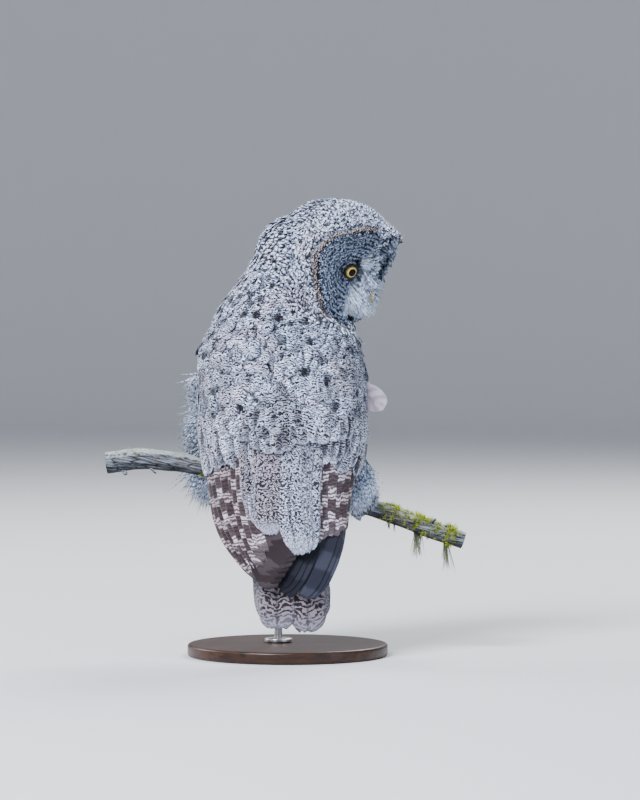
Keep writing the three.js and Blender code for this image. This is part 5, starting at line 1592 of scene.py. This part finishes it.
def lay_tier(
    vanes, side, count, root_s, root_z, tip_s, tip_z, half, low, lift, tilt, rooted=1.0, drop=0.0, seed=0, **extra
):
    """One tier of like feathers on the back, from its inner one to its outer one. Pairs of numbers give both."""
    rng = np.random.default_rng(seed)
    for i in range(count):
        f = i / (count - 1)
        wobble = rng.uniform(-0.5, 0.5, 2) * extra.get("loose", 1)
        a = np.array([mix(*root_s, f), mix(*root_z, f)]) + wobble
        b = np.array([mix(*tip_s, f) + 2 * wobble[0], mix(*tip_z, f) - drop * math.sin(math.pi * f) + 5 * wobble[1]])
        wide = mix(*half, f)
        run = np.linalg.norm(b - a)
        across = np.array([a[1] - b[1], b[0] - a[0]]) / run
        bend = rng.uniform(-2.5, 2.5)

        def place(t, w, out):
            s = mix(a[0], b[0], t) + w * across[0] + bend * np.sin(np.pi * t)
            z = mix(a[1], b[1], t) + w * across[1]
            rise = mix(rooted, low, ease(t, 0, 0.28)) + (lift - low) * ease(t, 0.3, 0.8)
            return on_body(side * s, z, rise + tilt * w / wide + out - 0.7)

        gain = np.interp(f, [0, 1], extra.get("gain", (0, 0))) + extra.get("uneven", 0.06) * rng.normal()
        streak = extra.get("streak", 0) * (rng.random() < 0.6) * rng.uniform(0.6, 1)
        marks = (streak, extra.get("rust", 0) * rng.uniform(0.4, 1), gain)
        # A left vane is laid mirrored, so its sides are swapped to keep its face outwards
        laid = place if side > 0 else (lambda t, w, out, inner=place: inner(t, -w, out))
        worn = {"tip": extra.get("tip", 0.85), "fray": extra.get("fray", 0.02)}
        vanes.lay(laid, wide, run, extra.get("rows", 20), marks, **worn)


# Each finish: light, dark and shaft colours, then the bars' period, wave, slant and bias
SLATE = ("#3b3d48", "#2b2d37", "#1f2229", (60.0, 9.0, 0.25, -0.1))
SMOOTH = ("#4f464a", "#382f32", "#2c2527", (40.0, 5.0, 0.2, -0.3))
BROWN = ("#c3bcc4", "#5f555b", "#332b2d", (5.6, 12.0, 0.2, 0.15))
WAVY = ("#ced8ec", "#3d404b", "#3a363f", (5.3, 34.0, -0.5, -0.1))
COVERT = ("#d9e5fb", "#30343f", "#2c2831", (4.6, 16.0, -0.3, 0.05))
BANDS = (36.0, "#3e3235", 0.56, 0.92)
STIFF = {"vein": 0.5, "base": 0.8}
slate_finish = feather_finish("primaries_slate", *SLATE, fleck=0.35, fringe=0.15, **STIFF)
smooth_finish = feather_finish("secondaries_smooth_brown", *SMOOTH, fleck=0.5, fringe=0.25, **STIFF)
brown_finish = feather_finish("secondaries_brown_banded", *BROWN, fleck=1.2, bands=BANDS, fringe=0.12, **STIFF)
wavy_finish = feather_finish("tertials_wavy_barred", *WAVY, fleck=1.9, fringe=0.45, vein=0.35)
covert_finish = feather_finish("coverts_barred", *COVERT, fleck=1.6, fringe=0.45, vein=0.3, base=0.6, core=(7, 15))

# Tiers are placed by s, round the body from the middle of the back, and z, the height. low and lift are how far the
# vanes lie off the body at their roots and tips, and tilt is how much each leans over the next.
ROUNDED = {"tip": 0.84, "rows": 26}
COVERTS = [  # greater coverts in two staggered rows, a row of median coverts, and two rows of scapulars
    (14, (66, 162), (374, 370), (56, 152), (288, 276), (11, 10), 8.5, 9.4, 3.0, 0.85),
    (13, (68, 158), (388, 384), (58, 148), (306, 296), (11, 10), 9.0, 10.2, 3.0, 0.85),
    (12, (76, 160), (406, 402), (74, 150), (328, 320), (11, 10), 6.5, 10.8, 1.0, 0.85),
    (9, (6, 84), (396, 402), (6, 82), (312, 334), (13, 12), 9.0, 13.0, 3.0, 0.68),
    (9, (3, 84), (410, 414), (3, 82), (332, 350), (13, 12), 6.5, 12.4, 0.0, 0.85),
]
for name, side in (("right", 1), ("left", -1)):
    right = side > 0
    slate, inner, outer, wavy, barred = Vanes(4), Vanes(3), Vanes(3), Vanes(3), Vanes(9)
    if right:
        # Three dark ones lie towards the middle, and three paler ones beside them
        tier = {"low": 2, "tilt": 2.8, **ROUNDED}
        dark, pale = {"lift": 3.6, "seed": 1, "gain": (-0.35, -0.1)}, {"lift": 4.6, "seed": 9, "gain": (0.3, 0.7)}
        lay_tier(slate, side, 3, (108, 128), (302, 306), (-19, -8), (108, 98), (14, 12), **dark, **tier)
        lay_tier(slate, side, 3, (138, 159), (304, 306), (13, 27), (98, 97), (12, 11), **pale, **tier)
    else:
        tier = {"low": 2, "lift": 8.4, "tilt": 1.6, "seed": 2, **ROUNDED}
        lay_tier(slate, side, 6, (110, 159), (302, 306), (26, 37), (112, 122), (13, 12), **tier)
    slate.piece(f"wing_primaries_{name}", slate_finish if right else brown_finish, "wing_plumage", f"wing_{name}")
    # The inner secondaries are plainer than the outer ones, whose edges show broad brown and buff bands
    tier = {"low": 4.4, "tilt": 1.6, **ROUNDED}
    if right:
        tier |= {"lift": 6.6, "seed": 3, "uneven": 0.1, "gain": (0.5, 0.35)}
        lay_tier(inner, side, 4, (46, 98), (350, 339), (44, 72), (176, 186), (14, 12), **tier)
        tier |= {"lift": 7.2, "seed": 5, "rust": 0.4, "gain": (0.2, -0.1)}
        lay_tier(outer, side, 4, (108, 162), (337, 328), (82, 112), (190, 206), (14, 12), **tier)
    else:
        even = {**tier, "fray": 0.0, "loose": 0.3, "uneven": 0.04}
        lay_tier(inner, side, 7, (46, 78), (350, 339), (-8, 25), (157, 111), (19, 17), lift=12.2, seed=4, **even)
        tier |= {"tilt": 2.4, "rust": 0.4, "uneven": 0.14, "gain": (-0.05, -0.05)}
        lay_tier(outer, side, 6, (82, 162), (337, 328), (22, 38), (126, 122), (14, 12), lift=11.6, seed=6, **tier)
        step = {"low": 8, "tilt": 2, "rust": 0.3, "gain": (0.25, 0.0), **ROUNDED}
        lay_tier(outer, side, 3, (58, 78), (380, 368), (23, 32), (160, 142), (13, 12), lift=13.6, seed=8, **step)
    inner.piece(f"wing_inner_secondaries_{name}", brown_finish if right else smooth_finish, "wing_plumage")
    outer.piece(f"wing_outer_secondaries_{name}", brown_finish, "wing_plumage")
    tier = {"low": 8, "lift": 15.2, "tilt": 2.4, "rows": 26, "tip": 0.8}
    if right:
        tier |= {"drop": 10, "seed": 5, "rust": 0.35, "streak": 0.6, "uneven": 0.1}
        lay_tier(wavy, side, 6, (4, 48), (396, 386), (14, 34), (164, 176), (18, 15), **tier)
    else:
        tier |= {"seed": 6, "rust": 0.8, "streak": 0.7, "uneven": 0.16, "gain": (0, -0.15)}
        lay_tier(wavy, side, 6, (18, 62), (396, 386), (15, 27), (188, 206), (18, 15), **tier)
    wavy.piece(f"wing_tertials_{name}", wavy_finish, "wing_plumage")
    tier = {"tip": 0.7, "rows": 14, "fray": 0.035, "rust": 0.5, "loose": 4, "uneven": 0.14}
    tier |= {"tilt": 1.1, "gain": (0, -0.12 if right else -0.25)}
    for k, (count, *places, rooted, streak) in enumerate(COVERTS):
        lay_tier(barred, side, count, *places, rooted=rooted, seed=20 + k + side, streak=streak, **tier)
    barred.piece(f"wing_coverts_{name}", covert_finish, "wing_plumage")


# The tail is a folded fan of twelve broad round-tipped feathers under the wing tips, with soft coverts beneath.
CHEVRONS = ("#a8a9b5", "#433d46", "#2e2b30", (8.0, 28.0, 0.5, 0.05))
tail_finish = feather_finish("tail_chevron_barred", *CHEVRONS, fleck=1.7, fringe=0.55, vein=0.5, base=0.85)
fan = Vanes(4)
for pair in range(TAIL["pairs"]):
    for side in (-1, 1):
        depth = TAIL["depth"] * (2 * pair + (side > 0))

        def place(t, w, out):
            x = side * mix(5, 22.5 + 1.6 * pair, ease(t, 0, 0.75)) + w * mix(0.7, 1.06, ease(t, 0, 0.6))
            z = mix(TAIL["root"], TAIL["tip"] + 6 + 4 * pair + (0 if side > 0 else 4), t)
            return on_tail(x, z, depth + 0.6 - out)

        fan.lay(place, TAIL["half"], 246, 30, (0.5, 0.5, -0.06 - 0.03 * pair), tip=0.9)
fan.piece("tail_feathers", tail_finish, "tail_plumage", "tail")
soft = Vanes(4)
for k in range(14):
    share = -1 + 2 * (k % 7) / 6
    row = k // 7
    root_z, tip_z = (268, 150 + 12 * abs(share)) if row == 0 else (282, 196 + 10 * abs(share))

    def place(t, w, out):
        x = share * mix(14, 26, t) + w
        depth = TAIL["depth"] * 2 * TAIL["pairs"] + 3 + 1.6 * (1 - abs(share)) + 2.2 * row
        return on_tail(x, mix(root_z, tip_z, t), depth + out)

    # Laid face down, so its sides are swapped
    soft.lay(lambda t, w, out, inner=place: inner(t, -w, out), 12, 110 - 26 * row, 16, (0, 0, 0.1), tip=0.6, fray=0.05)
soft.piece("tail_under_coverts", covert_finish, "tail_plumage")

# One loose round feather stands off the right flank
lone = Vanes(1)
points = [(88, -16, 400), (110, -22, 394), (132, -28, 384), (151, -31, 373)]


def place(t, w, out):
    middle, forward = course(points, t)
    up = unit(np.cross(forward, unit(np.array([0.42, 0, 0.91]))))
    up = up * np.sign((up * np.array([0, -1.0, 0])).sum(-1, keepdims=True))
    across = np.cross(up, forward)
    return middle - across * w[..., None] + up * out[..., None]


lone.lay(place, 19.5, 66, 22, (0.2, 0.3, 0.15), tip=0.5)
LOOSE = ("#b0aeb7", "#9b98a1", "#77757e", (17.0, 9.0, -0.9, 0.2))
lone_finish = feather_finish("loose_feather_pale", *LOOSE, fleck=0.8, fringe=0.8, vein=0.3, base=0.9)
lone.piece("wing_loose_feather", lone_finish, "wing_plumage")


# Lichen grows on the branch in yellow-green bushy tufts, thickest towards its right end, with a few grey wisps.
FORMS["lichen"] = variants(tuft_form, "lichen", 6, 100, 16, 0.55, 0.35, 0.05, 3)
lichen, tree, shader = finish("wolf_lichen_yellow_green", Roughness=0.85, Specular_IOR_Level=0.2)
# Yellow-green, each tuft its own tone and some greyer, darkened towards its root as painted shade inside the tuft
vane = add(tree, "UVMap", uv_map="Vane")
along = add(tree, "SeparateXYZ", (vane,), out="Y")
marks = add(tree, "Attribute", out="Vector", attribute_name="marks")
marks = add(tree, "SeparateXYZ", (marks,)).node.outputs
young = add(tree, "Mix", {0: marks[0], 6: linear("#d2dc52"), 7: linear("#a3b04a")}, **BLENDED)
aged = add(tree, "Mix", {0: marks[1], 6: young, 7: linear("#8d948a")}, **BLENDED)
# Painted shade: darker towards each strand's root, inside the tuft
depth = add(tree, "MapRange", (along, 0.0, 0.6, 0.45, 1.0))
feed(shader, {"Base Color": add(tree, "Mix", {0: 1.0, 6: aged, 7: depth}, **MULTIPLIED)})


def perch_roots(spots, ways):
    """Roots on the branch, each with its way out and a place of its own on the OFBake map."""
    facing = unit(np.cross(ways, rng.normal(size=ways.shape)))
    return {"at": spots, "facing": facing, "root": joined(*rng.random((len(spots), 2)).T, 0)}


rng = np.random.default_rng(7)
spots, ways, lengths, tones = [], [], [], []
# Each clump: its middle, its reach along the branch, how many tufts it has, and how long the longest is
CLUMPS = [(-117, 6, 50, 8), (0, 40, 6, 5), (-230, 22, 14, 5), (147, 4, 30, 6), (162, 5, 40, 8), (181, 5, 30, 7)]
CLUMPS += [(206, 6, 60, 10), (228, 4, 20, 8), (247, 5, 44, 10), (205, 40, 36, 4.5)]
for centre, reach, count, most in CLUMPS:
    for x in np.clip(centre + reach * rng.normal(size=count), -262, 262):
        middle, forward, across, upward = (v[0] for v in perch_frame(perch_at(x)))
        turn = rng.normal() * 1.1 + 0.35
        out = upward * math.cos(turn) - np.array([0, 1.0, 0]) * math.sin(turn)
        spots.append(middle + out * perch_radius(perch_at(x)) * 0.96)
        ways.append(unit(out + 0.5 * rng.normal(size=3)))
        lengths.append(rng.uniform(0.45, 1.0) * most)
        tones.append((rng.random(), rng.random() ** 4, 0))
ways = np.array(ways)
tufts = perch_roots(np.array(spots), ways)
dress(tufts, np.array(lengths), np.array(lengths), 0, np.array(tones).T, 8, lie=ways)
planted("perch_lichen", tufts, "lichen", lichen, slot="bark", sway=0.3, seed=9)
# Grey wisps hang from its underside in three loose bunches: the middle, count and greatest length of each
spots, lengths = [], []
for centre, count, most in ((172, 4, 24), (203, 9, 46), (246, 9, 56)):
    for x in np.clip(centre + 3 * rng.normal(size=count), -262, 258):
        middle, forward, across, upward = (v[0] for v in perch_frame(perch_at(x)))
        spots.append(middle - upward * perch_radius(perch_at(x)) * 0.9 + across * 3 * rng.normal())
        lengths.append(rng.uniform(0.4, 1.0) * most)
ways = unit(np.array([0, 0, -1.0]) + 0.07 * rng.normal(size=(len(spots), 3)))
wisps, lengths = perch_roots(np.array(spots), ways), np.array(lengths)
dress(wisps, lengths, 0.35 * lengths, 0, (rng.random(len(spots)), 0.85, 0), 10, lie=ways)
planted("perch_wisps", wisps, "fluff", lichen, slot="bark", sway=0.1, seed=11)
